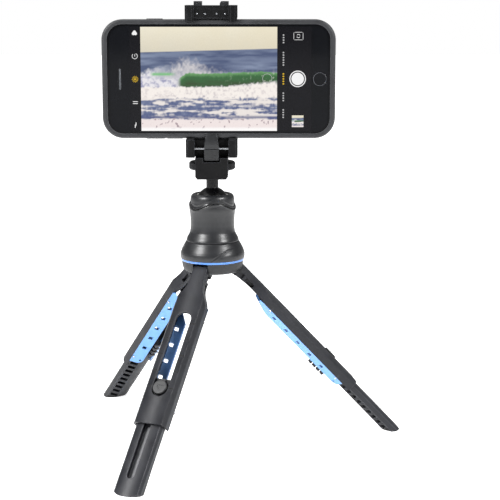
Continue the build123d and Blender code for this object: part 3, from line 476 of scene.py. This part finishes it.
# ------------------------------------------------------------------ ball head
@dataclass
class BallHead:
    """Turned head: skirt with swept grooves, waisted sleeve, and a cap that meets it in a waved seam."""

    around: int = 216
    seam: float = 150.4
    wave: float = 2.1
    waves: int = 3
    seam_turn: float = -79.0
    cap_radius: float = 13.75
    cap_top: float = 157.4
    sleeve_low: float = 127.9
    skirt_low: float = 116.75
    skirt_high: float = 127.6

    def _turned(self, name: str, radius: np.ndarray, height: np.ndarray, body: str, node: str,
                finish: Finish) -> bpy.types.Object:
        """Closed turned shell: x is the axis plus the radius times the cosine of the angle, y with the sine.

        Args:
            name: name of the piece.
            radius: millimetres, for each angle and each point of the profile.
            height: millimetres, in the same order.
            body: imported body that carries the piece.
            node: node that the piece replaces.
            finish: the finish to show.

        Returns:
            The piece.
        """
        angle = self._angles()
        points = np.stack([AXIS.x + radius * MM * np.cos(angle), AXIS.y + radius * MM * np.sin(angle),
                           height * MM + 0 * angle], -1)
        rows, columns = radius.shape
        piece = put(name, points.reshape(-1, 3), grid_faces(rows, columns, True, True)[:, ::-1])
        dress(piece, finish)
        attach(piece, body)
        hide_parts(node)
        LOG.info("%s: %d faces", name, len(piece.data.polygons))
        return piece

    def _angles(self) -> np.ndarray:
        """Column of angles round the axis."""
        return np.linspace(0, 2 * math.pi, self.around, endpoint=False)[:, None]

    def seam_height(self, angle: np.ndarray) -> np.ndarray:
        """Seam of sleeve and cap: mean height plus the wave times the cosine of thrice the angle."""
        return self.seam + self.wave * np.cos(self.waves * (angle - math.radians(self.seam_turn)))

    def sleeve(self) -> bpy.types.Object:
        """Waisted grip: the radius runs through its girths, up to a rolled rim along the waved seam."""
        angle = self._angles()
        rim = self.seam_height(angle)
        t = np.linspace(0, 1, 72)[None, :]
        height = self.sleeve_low + t * (rim - self.sleeve_low)
        known_z = np.array([127.9, 128.6, 129.9, 131.7, 133.5, 135.5, 137.5, 141.0, 144.0, 146.0, 147.6,
                            149.0, 154.0])
        known_r = np.array([16.45, 16.42, 15.95, 14.95, 14.15, 13.82, 13.7, 13.75, 13.95, 14.2, 14.5,
                            14.55, 14.35])
        radius = np.interp(height, known_z, known_r)
        below = rim - height
        radius = radius + 0.22 * bell(below, 0.7, 0.6) - 0.35 * bell(below, 0.0, 0.22)
        inner_r = np.concatenate([rim * 0 + 13.9, rim * 0 + 13.3, rim * 0 + 11.6, rim * 0 + 11.5], 1)
        inner_z = np.concatenate([rim - 0.02, rim - 0.6, rim * 0 + 147.4, rim * 0 + self.sleeve_low], 1)
        return self._turned("grip_sleeve", np.concatenate([radius, inner_r], 1),
                            np.concatenate([height, inner_z], 1), "ball_lock", "lock_sleeve", SOFT_TOUCH)

    def cap(self) -> bpy.types.Object:
        """Cap: straight wall above the waved seam with one raised wave, a full round top and an inner lip."""
        angle = self._angles()
        start = self.seam_height(angle) + 0.28
        t = np.linspace(0, 1, 56)[None, :]
        wall_top = 153.2
        height = start + t * (wall_top + 0.9 - start)
        rise = height - start
        strength = ease(154.1 - start, 1.0, 4.2)
        radius = self.cap_radius + strength * (0.38 * bell(rise, 0.35, 0.45) - 0.22 * bell(rise, 1.5, 0.5)
                                               + 0.10 * bell(rise, 2.4, 0.6))
        bend = np.linspace(0, math.pi / 2, 20)[None, :]
        radius = radius - 0.10 * ease(height, wall_top, 155.0)
        top_r = 11.2 + (self.cap_radius - 0.1 - 11.2) * np.cos(bend) + 0 * angle
        top_z = 154.2 + (self.cap_top - 154.2) * np.sin(bend) + 0 * angle
        inner = np.array([[10.9, 157.4], [10.5, 157.25], [10.3, 156.9], [10.0, 155.6], [9.85, 154.55],
                          [12.0, 154.5], [12.9, 152.0], [13.1, 149.0]])
        inner_r = inner[None, :, 0] + 0 * angle
        inner_z = inner[None, :, 1] + 0 * angle
        inner_z[:, -2:] = start + np.array([[0.9, 0.0]])
        return self._turned("lock_cap_shell", np.concatenate([radius, top_r[:, 1:], inner_r], 1),
                            np.concatenate([height, top_z[:, 1:], inner_z], 1), "ball_lock", "lock_cap",
                            SOFT_TOUCH)

    def skirt(self) -> bpy.types.Object:
        """Bell-shaped base: three petals, each bounded by a groove that sweeps up from the ring."""
        angle = self._angles()
        t = np.linspace(0, 1, 80)[None, :]
        height = self.skirt_low + t * (self.skirt_high - self.skirt_low) + 0 * angle
        known_z = np.array([116.75, 117.4, 118.4, 119.6, 120.8, 122.2, 123.6, 124.8, 126.0, 126.9, 127.6])
        known_r = np.array([19.92, 20.08, 20.2, 20.2, 19.98, 19.5, 18.85, 18.2, 17.55, 17.0, 16.7])
        radius = np.interp(height, known_z, known_r)
        for petal_turn in (-92.0, 28.0, 148.0):
            start = math.radians(petal_turn)
            sweep = (angle - start + math.pi) % (2 * math.pi) - math.pi
            line = self.skirt_low + 0.6 + 7.6 * np.sin(np.clip(sweep / 0.86, 0, 1) * math.pi / 2)
            shown = ease(sweep, -0.03, 0.03) * (1 - ease(sweep, 0.62, 0.95))
            groove = 0.42 * bell(height, line, 0.30) - 0.20 * bell(height, line - 0.75, 0.5)
            petal = 0.16 * ease(line - height, -0.2, 0.2) * ease(line - height, 3.5, 0.6)
            radius = radius - shown * (groove + petal)
        radius = radius - 0.25 * ease(height, 127.1, 127.6)
        inner_r = np.array([[11.4, 11.4, 16.7, 16.7, 19.2]]) + 0 * angle
        inner_z = np.array([[127.55, 116.0, 116.0, 116.6, 116.7]]) + 0 * angle
        return self._turned("swept_skirt", np.concatenate([radius, inner_r], 1),
                            np.concatenate([height, inner_z], 1), "base", "base_skirt", SOFT_TOUCH)

    def build(self) -> None:
        """Makes the turned shells and dresses the nodes between them."""
        self.sleeve()
        self.cap()
        self.skirt()
        for node, finish in {"leg_hub": HUB_ABS, "hub_bottom_cap": HUB_ABS, "centre_bolt": PIN_STEEL,
                             "accent_ring": RING_PC, "ball_seat": NYLON, "ball_stud": BALL_STEEL}.items():
            dress(node, finish)


# ------------------------------------------------------------------ legs
@dataclass
class Leg:
    """One folding leg, with its sliding lower part and the length marks beside its slot.

    Places on a leg: s runs down it from the fold pin, w across it and h out of its outer face.
    The fold pin and the three directions come from the record's joints.
    """

    side: str
    half_width: float = 10.5
    outer_face: float = 6.3
    crown_mm: float = 3.2
    mark_first: float = 43.4
    mark_pitch: float = 11.1
    marks: int = 5
    mark_from: float = 5.75
    mark_long: float = 2.6
    mark_high: float = 1.0
    groove_top: float = 97.3
    groove_end: float = 145.7
    groove_middle: float = -0.8
    groove_half: float = 2.25
    groove_floor: float = 1.2
    groove_rise: float = 0.5
    groove_under: float = 0.62

    def __post_init__(self) -> None:
        """Reads the pin's place and the leg's directions from the joints."""
        joints = {joint["name"]: joint for joint in frame["joints"]}
        self.pin = np.array(joints[f"{self.side}_leg_fold"]["pos_m"])
        self.across = np.array(joints[f"{self.side}_leg_fold"]["axis"])
        self.down = -np.array(joints[f"{self.side}_leg_extend"]["axis"])
        self.out = -np.array(joints[f"{self.side}_leg_press"]["axis"])

    def place(self, s: np.ndarray, w: np.ndarray, h: np.ndarray) -> np.ndarray:
        """Points of the leg: the pin plus s down, w across and h outwards, in millimetres."""
        s, w, h = (value[..., None] for value in np.broadcast_arrays(s, w, h))
        return self.pin + MM * (s * self.down + w * self.across + h * self.out)

    def _outwards(self, points: np.ndarray, quads: np.ndarray) -> np.ndarray:
        """Turns the faces round where the first one looks into the leg.

        Args:
            points: array of n by 3 coordinates.
            quads: faces whose first one should look out of the leg.

        Returns:
            The faces, all turned the same way.
        """
        a, b, c = points[quads[0, :3]]
        return quads[:, ::-1] if np.dot(np.cross(b - a, c - a), self.out) < 0 else quads

    def length_marks(self) -> bpy.types.Object:
        """Low pads in the marks beside the slot: a small crowned grid for each step of the leg.

        The height falls from the middle with the fourth power of both places on the pad.

        Returns:
            The piece.
        """
        t = np.linspace(-1, 1, 9)
        points, faces, count = [], [], 0
        for side in (-1, 1):
            for step in range(self.marks):
                u, v = np.meshgrid(t, t, indexing="ij")
                s = self.mark_first + step * self.mark_pitch + v * self.mark_high / 2
                w = side * (self.mark_from + (u + 1) * self.mark_long / 2)
                h = self.outer_face + 0.04 - 0.03 * (u ** 4 + v ** 4)
                points.append(self.place(s, w, h).reshape(-1, 3))
                quads = grid_faces(len(t), len(t)) + count
                faces.append(quads if side > 0 else quads[:, ::-1])
                count += len(t) ** 2
        pads = np.concatenate(points)
        marks = put(f"{self.side}_leg_length_marks", pads, self._outwards(pads, np.concatenate(faces)))
        dress(marks, MARK_BLACK)
        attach(marks, f"{self.side}_leg")
        return marks

    def groove_light_strip(self) -> bpy.types.Object:
        """Closed strip on the lower leg's groove floor: a shallow trough with round ends, painted paler as
        painted light on the groove.

        The half width follows a half circle at both ends, and the floor rises to the walls with the
        sixth power of the place across.

        Returns:
            The piece.
        """
        rows, columns = 25, 121
        u, t = np.meshgrid(np.linspace(-1, 1, rows), np.linspace(0, 1, columns), indexing="ij")
        s = self.groove_top + t * (self.groove_end - self.groove_top)
        end = np.minimum(s - self.groove_top, self.groove_end - s)
        short = np.clip(self.groove_half - end, 0, None)
        w = self.groove_middle + u * np.sqrt(np.clip(self.groove_half ** 2 - short ** 2, 0.01, None))
        upper = self.place(s, w, self.groove_floor + self.groove_rise * u ** 6).reshape(-1, 3)
        under = self.place(s, w, self.groove_under + 0 * u).reshape(-1, 3)
        top = grid_faces(rows, columns)
        rim = np.concatenate([np.arange(columns), columns * np.arange(2, rows + 1) - 1,
                              (rows - 1) * columns + np.arange(columns - 2, -1, -1),
                              columns * np.arange(rows - 2, 0, -1)])
        after = np.roll(rim, -1)
        wall = np.stack([rim, after, after + len(upper), rim + len(upper)], -1)
        points = np.concatenate([upper, under])
        quads = np.concatenate([top, wall[:, ::-1], top[:, ::-1] + len(upper)])
        light_strip = put(f"{self.side}_leg_groove_liner", points, self._outwards(points, quads), False)
        # Painted light: the strip is paler than the leg to stand in for light on the groove floor, with paler
        # edges as painted highlights.
        dress(light_strip, GROOVE_PAINTED_LIGHT)
        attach(light_strip, f"{self.side}_leg_slider")
        return light_strip

    def build(self) -> None:
        """Dresses the leg's nodes: the shells get a crown across their width."""
        crown = (tuple(self.across), float(np.dot(self.pin, self.across)),
                 self.crown_mm * MM / (self.half_width * MM) ** 2)
        upper = replace(LEG_ABS, name=f"abs_spark_eroded_{self.side}", crown=crown)
        lower = replace(LOWER_ABS, name=f"abs_rubbed_{self.side}", crown=crown)
        for part, finish in {"upper": upper, "wings": BLUE_ABS, "wing_screws": PIN_STEEL, "lower": lower,
                             "button": BUTTON_POM, "button_spring": WIRE_STEEL, "pin": PIN_STEEL}.items():
            dress(f"{self.side}_leg_{part}", finish)
        self.length_marks()
        self.groove_light_strip()
        LOG.info("%s leg dressed", self.side)


# ------------------------------------------------------------------ clamp
@dataclass
class Clamp:
    """Spring clamp with its thumb wheel, hook and accessory shoe."""

    finishes: Dict[str, Finish] = field(default_factory=lambda: {
        "base_block": CLAMP_PA, "thumb_wheel": CLAMP_PA, "threaded_bush": BRASS, "lower_jaw": CLAMP_PA,
        "lower_jaw_pads": PAD_RUBBER, "hook_pin": PIN_STEEL, "hook_spring": WIRE_STEEL,
        "retaining_hook": BUTTON_POM, "clamp_back": CLAMP_PA, "guide_rods": PIN_STEEL,
        "jaw_spring": WIRE_STEEL, "upper_jaw": CLAMP_PA, "upper_jaw_pad": PAD_RUBBER,
        "cold_shoe": SHOE_SHEET, "shoe_screws": PIN_STEEL})

    def build(self) -> None:
        """Dresses the clamp's nodes."""
        for node, finish in self.finishes.items():
            dress(node, finish)
        LOG.info("clamp dressed")


# ------------------------------------------------------------------ phone
@dataclass(frozen=True)
class Glow:
    """Lit part of the display: colours come from the piece's own attribute, under a thin clear gloss."""

    name: str
    strength: float

    def material(self) -> bpy.types.Material:
        """Builds the node material."""
        made = bpy.data.materials.new(self.name)
        made.use_nodes = True
        tree = made.node_tree
        tree.nodes.clear()
        tint = add_node(tree, "ShaderNodeAttribute", {"attribute_name": "picture"}).outputs["Color"]
        spot = add_node(tree, "ShaderNodeTexCoord").outputs["Object"]
        dots = add_node(tree, "ShaderNodeTexNoise", {"Scale": 1800.0, "Detail": 2.0}, {"Vector": spot})
        level = add_node(tree, "ShaderNodeMapRange", {"To Min": 0.93, "To Max": 1.05},
                         {"Value": dots.outputs["Fac"]})
        lit = add_node(tree, "ShaderNodeVectorMath", {"operation": "SCALE"},
                       {0: tint, "Scale": level.outputs["Result"]})
        shader = add_node(tree, "ShaderNodeBsdfPrincipled",
                          {"Base Color": (0.004, 0.004, 0.005, 1), "Roughness": 0.08, "IOR": 1.24,
                           "Emission Strength": self.strength},
                          {"Emission Color": lit.outputs[0]})
        add_node(tree, "ShaderNodeOutputMaterial", {}, {"Surface": shader.outputs[0]})
        return made


@dataclass
class Display:
    """Camera screen: a picture of surf between two black strips with plain marks.

    Places are measured from the lit area's left edge and from its middle line.
    """

    front: float = 0.0
    left: float = 0.0
    middle: float = 0.0
    picture_from: float = 7.8
    picture_to: float = 90.7
    half_high: float = 31.45
    lift: float = 0.03
    strip_from: float = 1.2
    strip_to: float = 111.4
    arc_points: int = 49
    bar_points: int = 13

    def _flat(self, across: np.ndarray, up: np.ndarray, layer: float) -> np.ndarray:
        """Points on the glass: x from the left edge, z from the middle line, y just before the glass."""
        return np.stack([self.left + across * MM, np.full_like(across, self.front - self.lift * layer * MM),
                         self.middle + up * MM], -1).reshape(-1, 3)

    def _far(self, p: np.ndarray, q: np.ndarray, noise: Dict[str, np.ndarray]) -> np.ndarray:
        """Upper half of the picture: pale sky, sea to a sloping horizon, then spray and foam.

        Args:
            p: places across, 0 to 1.
            q: places down, 0 to 1.
            noise: the cloudy values that bend and mix the bands.

        Returns:
            Linear colours.
        """
        coarse, fine = noise["coarse"], noise["fine"]
        streak, long_streak = noise["streak"], noise["long_streak"]
        sky = mixed(tint("#f0ead6") + 0 * p[..., None], tint("#cdc8b9"), q / 0.24 * 0.75)
        sky = mixed(sky, tint("#e6d9b8"), 0.35 * coarse + 0.2 * p)
        sea = mixed(tint("#4f5b7b") + 0 * sky, tint("#8490aa"),
                    1.5 * (long_streak - 0.25) + 0.7 * (streak - 0.5))
        horizon = 0.243 - 0.036 * p
        image = mixed(sky, sea, ease(q - horizon, -0.003, 0.003))
        spray_top = 0.45 - 0.145 * bell(p, 0.33, 0.13) - 0.045 * bell(p, 0.52, 0.16) + 0.05 * (coarse - 0.5)
        spray = ease(q - spray_top + 0.09 * (fine - 0.5), -0.03, 0.10)
        image = mixed(image, tint("#d9d5d6"), spray * (0.45 + 0.5 * fine) * ease(p, 0.06, 0.2))
        left_foam = ease(q - 0.42 - 0.25 * (coarse - 0.55), -0.02, 0.03) * (1 - ease(p, 0.02, 0.24))
        foam_tone = mixed(tint("#f1efef") + 0 * sky, tint("#9a9cbd"), 1.6 * (fine - 0.42))
        image = mixed(image, foam_tone, left_foam)
        trough = ease(q, 0.46, 0.52) * (1 - ease(p, 0.22, 0.34))
        trough_tone = mixed(tint("#e9e6ea") + 0 * sky, tint("#8d8fb3"), 2.2 * (fine - 0.38))
        return mixed(image, trough_tone, trough)

    def _near(self, image: np.ndarray, p: np.ndarray, q: np.ndarray,
              noise: Dict[str, np.ndarray]) -> np.ndarray:
        """Lower half of the picture: one green wave face, foam, streaked water and wet sand.

        Args:
            image: colours of the upper half.
            p: places across, 0 to 1.
            q: places down, 0 to 1.
            noise: the cloudy values that bend and mix the bands.

        Returns:
            Linear colours.
        """
        fine, streak, long_streak = noise["fine"], noise["streak"], noise["long_streak"]
        crest = 0.432 + 0.13 * ease(0.36 - p, 0.0, 0.16) - 0.008 * np.sin(9 * p) + 0.02 * (fine - 0.5)
        foot = 0.575 - 0.05 * ease(p, 0.55, 1.0) + 0.035 * (fine - 0.5)
        face = ease(q - crest, 0, 0.012) * (1 - ease(q - foot, -0.012, 0.012)) * ease(p, 0.262, 0.30)
        green = mixed(tint("#37683a") + 0 * image, tint("#6fa468"), 1.0 - ease(q - crest, 0.0, 0.05))
        green = mixed(green, tint("#39502f"), ease(q - crest, 0.03, 0.13) * (0.2 + 1.1 * streak))
        green = mixed(green, tint("#cfd8c6"), ease(fine, 0.68, 0.82) * ease(p, 0.5, 1.0) * 0.5)
        image = mixed(image, green, face)
        shallow = bell(q, 0.452, 0.014) * ease(p, 0.06, 0.10) * (1 - ease(p, 0.20, 0.27))
        image = mixed(image, tint("#6fbf72"), 0.9 * shallow)
        foam = ease(q - foot, -0.01, 0.02) + ease(q, 0.57, 0.60)
        foam_tone = mixed(tint("#f6efe9") + 0 * image, tint("#b8aeb4"), 1.5 * (fine - 0.5))
        image = mixed(image, foam_tone, foam)
        water = ease(q - 0.685 + 0.05 * (fine - 0.5), -0.015, 0.015)
        bright = ease(0.75 * streak + 0.4 * long_streak + 0.22 * (fine - 0.5) + 0.1 * (q - 0.8), 0.44, 0.72)
        water_tone = mixed(tint("#59648a") + 0 * image, tint("#7d86a3"), 1.6 * (fine - 0.3))
        image = mixed(image, mixed(water_tone, tint("#ebe4df"), bright), water)
        dark_line = bell(q, 0.868, 0.014) * (0.55 + 0.4 * long_streak)
        image = mixed(image, tint("#565c84"), dark_line)
        sand = ease(q - 0.888 + 0.02 * (fine - 0.5), -0.008, 0.008)
        sand_tone = mixed(tint("#f0e4e2") + 0 * image, tint("#8d7480"), 0.75 * ease(fine, 0.70, 0.80))
        image = mixed(image, sand_tone, sand)
        return mixed(image, tint("#fdfbfa"), ease(q, 0.955, 0.985))

    def surf(self, p: np.ndarray, q: np.ndarray) -> np.ndarray:
        """Colour of the picture: bands of sky, sea, spray, wave, foam, water and sand.

        Each border is a line bent by cloudy noise, and each band mixes two colours by noise.

        Args:
            p: places across, 0 to 1.
            q: places down, 0 to 1.

        Returns:
            Linear colours.
        """
        coarse = lattice_noise(p, q, 9, 6, 11)
        bent = q + 0.016 * (lattice_noise(p, q, 9, 6, 15) - 0.5)
        noise = {"coarse": coarse,
                 "fine": lattice_noise(p + 0.02 * coarse, q + 0.03 * coarse, 58, 40, 12, 2),
                 "streak": lattice_noise(p + 0.08 * coarse, bent, 11, 46, 13, 2),
                 "long_streak": lattice_noise(p, bent, 5, 26, 14, 2)}
        return self._near(self._far(p, q, noise), p, q, noise)

    def _paint(self, piece: bpy.types.Object, colours: np.ndarray) -> None:
        """Stores one colour a point as the attribute that the display's material reads."""
        layer = piece.data.color_attributes.new("picture", "FLOAT_COLOR", "POINT")
        flat = np.concatenate([colours.reshape(-1, 3), np.ones((colours.size // 3, 1))], 1)
        layer.data.foreach_set("color", flat.astype(np.float32).ravel())

    def picture(self) -> bpy.types.Object:
        """Lit picture: a flat grid whose points carry the surf's colours."""
        rows, columns = 190, 256
        p, q = np.meshgrid(np.linspace(0, 1, columns), np.linspace(0, 1, rows))
        across = self.picture_from + p * (self.picture_to - self.picture_from)
        up = self.half_high * (1 - 2 * q)
        piece = put("display_picture", self._flat(across, up, 1), grid_faces(rows, columns)[:, ::-1],
                    False)
        self._paint(piece, self.surf(p, q))
        return piece

    def _ring(self, across: float, up: float, inner: float, outer: float, start: float = 0.0,
              sweep: float = 360.0) -> Tuple[np.ndarray, np.ndarray]:
        """Band between two radii over an arc: each point is its middle plus radius times cosine and sine.

        Args:
            across: middle of the band, from the left edge.
            up: middle of the band, from the middle line.
            inner: inner radius.
            outer: outer radius.
            start: angle of the first end in degrees.
            sweep: angle between the ends in degrees.

        Returns:
            Points and faces.
        """
        angle = np.radians(start + np.linspace(0, sweep, self.arc_points))[None, :]
        radius = np.array([[inner], [outer]])
        points = self._flat(across + radius * np.cos(angle), up + radius * np.sin(angle), 2)
        return points, grid_faces(2, self.arc_points)

    def _bar(self, across: float, up: float, wide: float, high: float) -> Tuple[np.ndarray, np.ndarray]:
        """Bar with slightly rounded ends: its height falls off with the eighth power towards both.

        Args:
            across: middle of the bar, from the left edge.
            up: middle of the bar, from the middle line.
            wide: width.
            high: height.

        Returns:
            Points and faces.
        """
        t = np.linspace(-1, 1, self.bar_points)[None, :]
        side = np.array([[-0.5], [0.5]])
        if wide >= high:
            points = self._flat(across + t * wide / 2 + 0 * side, up + side * high * (1 - 0.6 * t ** 8), 2)
            return points, grid_faces(2, self.bar_points)[:, ::-1]
        points = self._flat(across + side * wide * (1 - 0.6 * t ** 8), up + t * high / 2 + 0 * side, 2)
        return points, grid_faces(2, self.bar_points)

    def _marks(self, name: str, shapes: Iterable[Tuple[np.ndarray, np.ndarray]],
               colour: str) -> bpy.types.Object:
        """Joins flat shapes to one piece of one colour, each face turned out of the glass.

        Args:
            name: name of the piece.
            shapes: points and faces of each shape.
            colour: sRGB hex colour.

        Returns:
            The piece.
        """
        points, faces, count = [], [], 0
        for shape_points, shape_faces in shapes:
            corners = shape_points[shape_faces[:, :3]]
            normal = np.cross(corners[:, 1] - corners[:, 0], corners[:, 2] - corners[:, 0])
            if normal[:, 1].sum() > 0:
                shape_faces = shape_faces[:, ::-1]
            points.append(shape_points)
            faces.append(shape_faces + count)
            count += len(shape_points)
        piece = put(name, np.concatenate(points), np.concatenate(faces), False)
        self._paint(piece, np.tile(np.array(linear(colour)[:3]), (count, 1)))
        return piece

    def white_marks(self) -> bpy.types.Object:
        """Shutter mark, camera-turn mark and the plain marks of both strips."""
        shapes = [self._ring(103.2, 0.2, 0.01, 3.8), self._ring(103.2, 0.2, 4.4, 5.0)]
        shapes += [self._ring(103.5, 25.95, 0.85, 1.15, start, 130) for start in (20, 200)]
        shapes += [self._bar(103.5, 28.2, 5.2, 0.24), self._bar(103.5, 23.7, 5.2, 0.24),
                   self._bar(100.7, 25.95, 0.24, 4.0), self._bar(106.3, 25.95, 0.24, 4.0)]
        shapes += [self._ring(4.3 + 0.62 * dx, 27.8 + 0.62 * dz, 0.01, 0.95)
                   for dx, dz in ((-1, -0.6), (1, -0.6), (0, 0.9))]
        shapes += [self._ring(4.3, 13.9, 1.45, 1.75, 130, 300), self._bar(4.3, 14.3, 0.3, 1.5)]
        shapes += [self._bar(4.3, -13.6, 3.2, 0.42), self._bar(4.3, -14.8, 3.2, 0.42)]
        shapes += [self._bar(4.5, -27.2, 0.5, 2.0), self._bar(4.0, -28.6, 0.5, 2.0)]
        return self._marks("display_white_marks", shapes, "#f4f4f4")

    def grey_marks(self) -> bpy.types.Object:
        """Rows of short bars where the camera's modes are listed, and the focus circle's faint ring."""
        shapes = []
        for up, dashes in ((24.3, 4), (12.3, 6), (-10.7, 4), (-20.9, 4)):
            for k in range(dashes):
                shapes.append(self._bar(94.5, up + (k - (dashes - 1) / 2) * 1.5, 0.95, 0.85))
        shapes.append(self._ring(84.7, 0.4, 2.7, 2.95))
        return self._marks("display_grey_marks", shapes, "#b9b9b9")

    def yellow_marks(self) -> bpy.types.Object:
        """Chosen mode's bar, and the round mark of the live picture."""
        shapes = [self._bar(94.5, 0.2 + (k - 2) * 1.5, 1.0, 0.9) for k in range(5)]
        shapes += [self._ring(4.3, 0.0, 0.01, 0.6), self._ring(4.3, 0.0, 1.1, 1.4)]
        shapes += [self._ring(4.3, 0.0, 1.6, 2.0, k * 30, 12) for k in range(12)]
        return self._marks("display_yellow_marks", shapes, "#d9b21c")

    def thumbnail(self) -> bpy.types.Object:
        """Small copy of the last picture, painted by the same formula."""
        rows, columns = 34, 34
        p, q = np.meshgrid(np.linspace(0.1, 0.95, columns), np.linspace(0, 1, rows))
        across = 99.8 + (p - 0.1) / 0.85 * 7.1
        up = -22.0 - q * 7.1
        piece = put("display_thumbnail", self._flat(across, up, 2), grid_faces(rows, columns)[:, ::-1],
                    False)
        self._paint(piece, self.surf(p, q))
        return piece

    def strips(self) -> bpy.types.Object:
        """Black strips of the screen at both ends of the picture, a shade deeper than the bezel."""
        shapes = []
        for low, high in ((self.strip_from, self.picture_from), (self.picture_to, self.strip_to)):
            x = np.array([[low, high], [low, high]])
            z = np.array([[-self.half_high] * 2, [self.half_high] * 2])
            shapes.append((self._flat(x, z, 1), np.array([[0, 1, 3, 2]])))
        return self._marks("display_black_strips", shapes, "#000000")

    def build(self) -> None:
        """Makes the screen's layers and lets them ride on the phone."""
        low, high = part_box("display_panel")
        glass_low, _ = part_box("front_glass")
        self.left, self.front, self.middle = low[0], glass_low[1], (low[2] + high[2]) / 2
        lit = Glow("display_picture_lit", 1.0).material()
        for piece in (self.strips(), self.picture(), self.thumbnail(), self.white_marks(), self.grey_marks(),
                      self.yellow_marks()):
            piece.data.materials.append(lit)
            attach(piece, "phone")
            LOG.info("%s: %d faces", piece.name, len(piece.data.polygons))


@dataclass
class Phone:
    """Phone in its case, with the lit display."""

    finishes: Dict[str, Finish] = field(default_factory=lambda: {
        "phone_case": CASE_SILICONE, "phone_housing": PHONE_METAL, "front_glass": COVER_GLASS,
        "earpiece_grille": EAR_MESH, "home_button": COVER_GLASS, "display_panel": COVER_GLASS,
        "battery": CELL_FOIL, "logic_board": BOARD, "rear_camera": LENS, "rear_lamp": DIFFUSER,
        "mute_switch": CASE_SILICONE, "volume_up_button": CASE_SILICONE,
        "volume_down_button": CASE_SILICONE, "power_button": CASE_SILICONE})

    def build(self) -> None:
        """Dresses the phone's nodes and lights the display."""
        for node, finish in self.finishes.items():
            dress(node, finish)
        Display().build()
        self.home_ring()
        LOG.info("phone dressed")

    def home_ring(self) -> None:
        """Slim satin ring round the home key: an oval section carried round a circle."""
        low, high = (np.array(corner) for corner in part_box("home_button"))
        middle, radius = (low + high) / 2, (high[0] - low[0]) / 2 - 0.35 * MM
        turn = np.linspace(0, 2 * math.pi, 72, endpoint=False)[:, None]
        bend = np.linspace(0, 2 * math.pi, 10, endpoint=False)[None, :]
        reach = radius + 0.22 * MM * np.cos(bend)
        points = np.stack([middle[0] + reach * np.cos(turn), low[1] + 0.10 * MM * np.sin(bend) + 0 * turn,
                           middle[2] + reach * np.sin(turn)], -1)
        ring = put("home_key_ring", points.reshape(-1, 3), grid_faces(72, 10, True, True))
        dress(ring, HOME_RING)
        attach(ring, "home_key")


# ------------------------------------------------------------------ studio
@dataclass
class Studio:
    """White floor and backdrop, soft boxes and the camera."""

    eye: Tuple[float, float, float] = (0.0235, -0.857, 0.2775)
    pitch: float = -10.33
    lens: float = 99.65
    floor_half: float = 6.0

    def floor(self) -> None:
        """Flat white floor."""
        reach = np.linspace(-self.floor_half, self.floor_half, 3)
        x, y = np.meshgrid(reach, reach)
        floor = put("floor", np.stack([x, y, x * 0], -1).reshape(-1, 3), grid_faces(3, 3), False)
        made = bpy.data.materials.new("paper_white_seamless")
        made.use_nodes = True
        tree = made.node_tree
        shader = tree.nodes["Principled BSDF"]
        spot = add_node(tree, "ShaderNodeTexCoord").outputs["Object"]
        fibre = add_node(tree, "ShaderNodeTexNoise", {"Scale": 40.0, "Detail": 3.0}, {"Vector": spot})
        tone = add_node(tree, "ShaderNodeMix",
                        {"data_type": "RGBA", 6: linear("#fbfbfb"), 7: linear("#ffffff")},
                        {0: fibre.outputs["Fac"]})
        tree.links.new(tone.outputs[2], shader.inputs["Base Color"])
        shader.inputs["Roughness"].default_value = 0.9
        shader.inputs["Specular IOR Level"].default_value = 0.1
        shader.inputs["Emission Color"].default_value = (1, 1, 1, 1)
        seen = add_node(tree, "ShaderNodeLightPath").outputs["Is Camera Ray"]
        lift = add_node(tree, "ShaderNodeMapRange", {"To Min": 0.35, "To Max": 0.7}, {"Value": seen})
        tree.links.new(lift.outputs["Result"], shader.inputs["Emission Strength"])
        floor.data.materials.append(made)

    def light(self, name: str, place: Sequence[float], aim: Sequence[float], size: Tuple[float, float],
              power: float) -> None:
        """One soft box.

        Args:
            name: name of the light.
            place: its place in metres.
            aim: the point that it faces.
            size: its width and height in metres.
            power: its power in watts.
        """
        data = bpy.data.lights.new(name, "AREA")
        data.shape, data.size, data.size_y, data.energy = "RECTANGLE", size[0], size[1], power
        lamp = bpy.data.objects.new(name, data)
        lamp.location = place
        lamp.rotation_euler = (Vector(aim) - Vector(place)).to_track_quat("-Z", "Y").to_euler()
        bpy.context.scene.collection.objects.link(lamp)

    def build(self) -> None:
        """Sets the floor, the lights, the world and the camera."""
        self.floor()
        world = bpy.data.worlds.new("white_room")
        world.use_nodes = True
        tree = world.node_tree
        seen = add_node(tree, "ShaderNodeLightPath").outputs["Is Camera Ray"]
        glow = add_node(tree, "ShaderNodeMapRange", {"To Min": 0.24, "To Max": 1.0}, {"Value": seen})
        tree.nodes["Background"].inputs["Color"].default_value = (1, 1, 1, 1)
        tree.links.new(glow.outputs["Result"], tree.nodes["Background"].inputs["Strength"])
        bpy.context.scene.world = world
        self.light("left_box", (-0.60, -0.42, 0.62), (0, 0, 0.14), (0.24, 0.30), 11.0)
        self.light("right_box", (0.62, -0.42, 0.62), (0, 0, 0.14), (0.22, 0.30), 9.0)
        sky = bpy.data.lights.new("overhead_sheet", "SUN")
        sky.energy, sky.angle = 1.9, math.radians(60.0)
        sheet = bpy.data.objects.new("overhead_sheet", sky)
        sheet.rotation_euler = (math.radians(-8.0), math.radians(-14.0), 0.0)
        bpy.context.scene.collection.objects.link(sheet)
        data = bpy.data.cameras.new("camera")
        data.lens, data.sensor_width, data.clip_start = self.lens, 36.0, 0.05
        camera = bpy.data.objects.new("camera", data)
        camera.location = AXIS + Vector(self.eye)
        camera.rotation_euler = (math.radians(90.0 + self.pitch), 0.0, 0.0)
        bpy.context.scene.collection.objects.link(camera)
        bpy.context.scene.camera = camera
        bpy.context.scene.view_settings.view_transform = "Standard"
        LOG.info("studio set")


def main() -> None:
    """Builds every sub-assembly in order and reports each."""
    logging.basicConfig(level=logging.INFO, format="%(name)s: %(message)s")
    parts: List[Any] = [BallHead(), *(Leg(side) for side in SIDES), Clamp(), Phone(), Studio()]
    for part in parts:
        part.build()


if __name__ == "__main__":
    main()
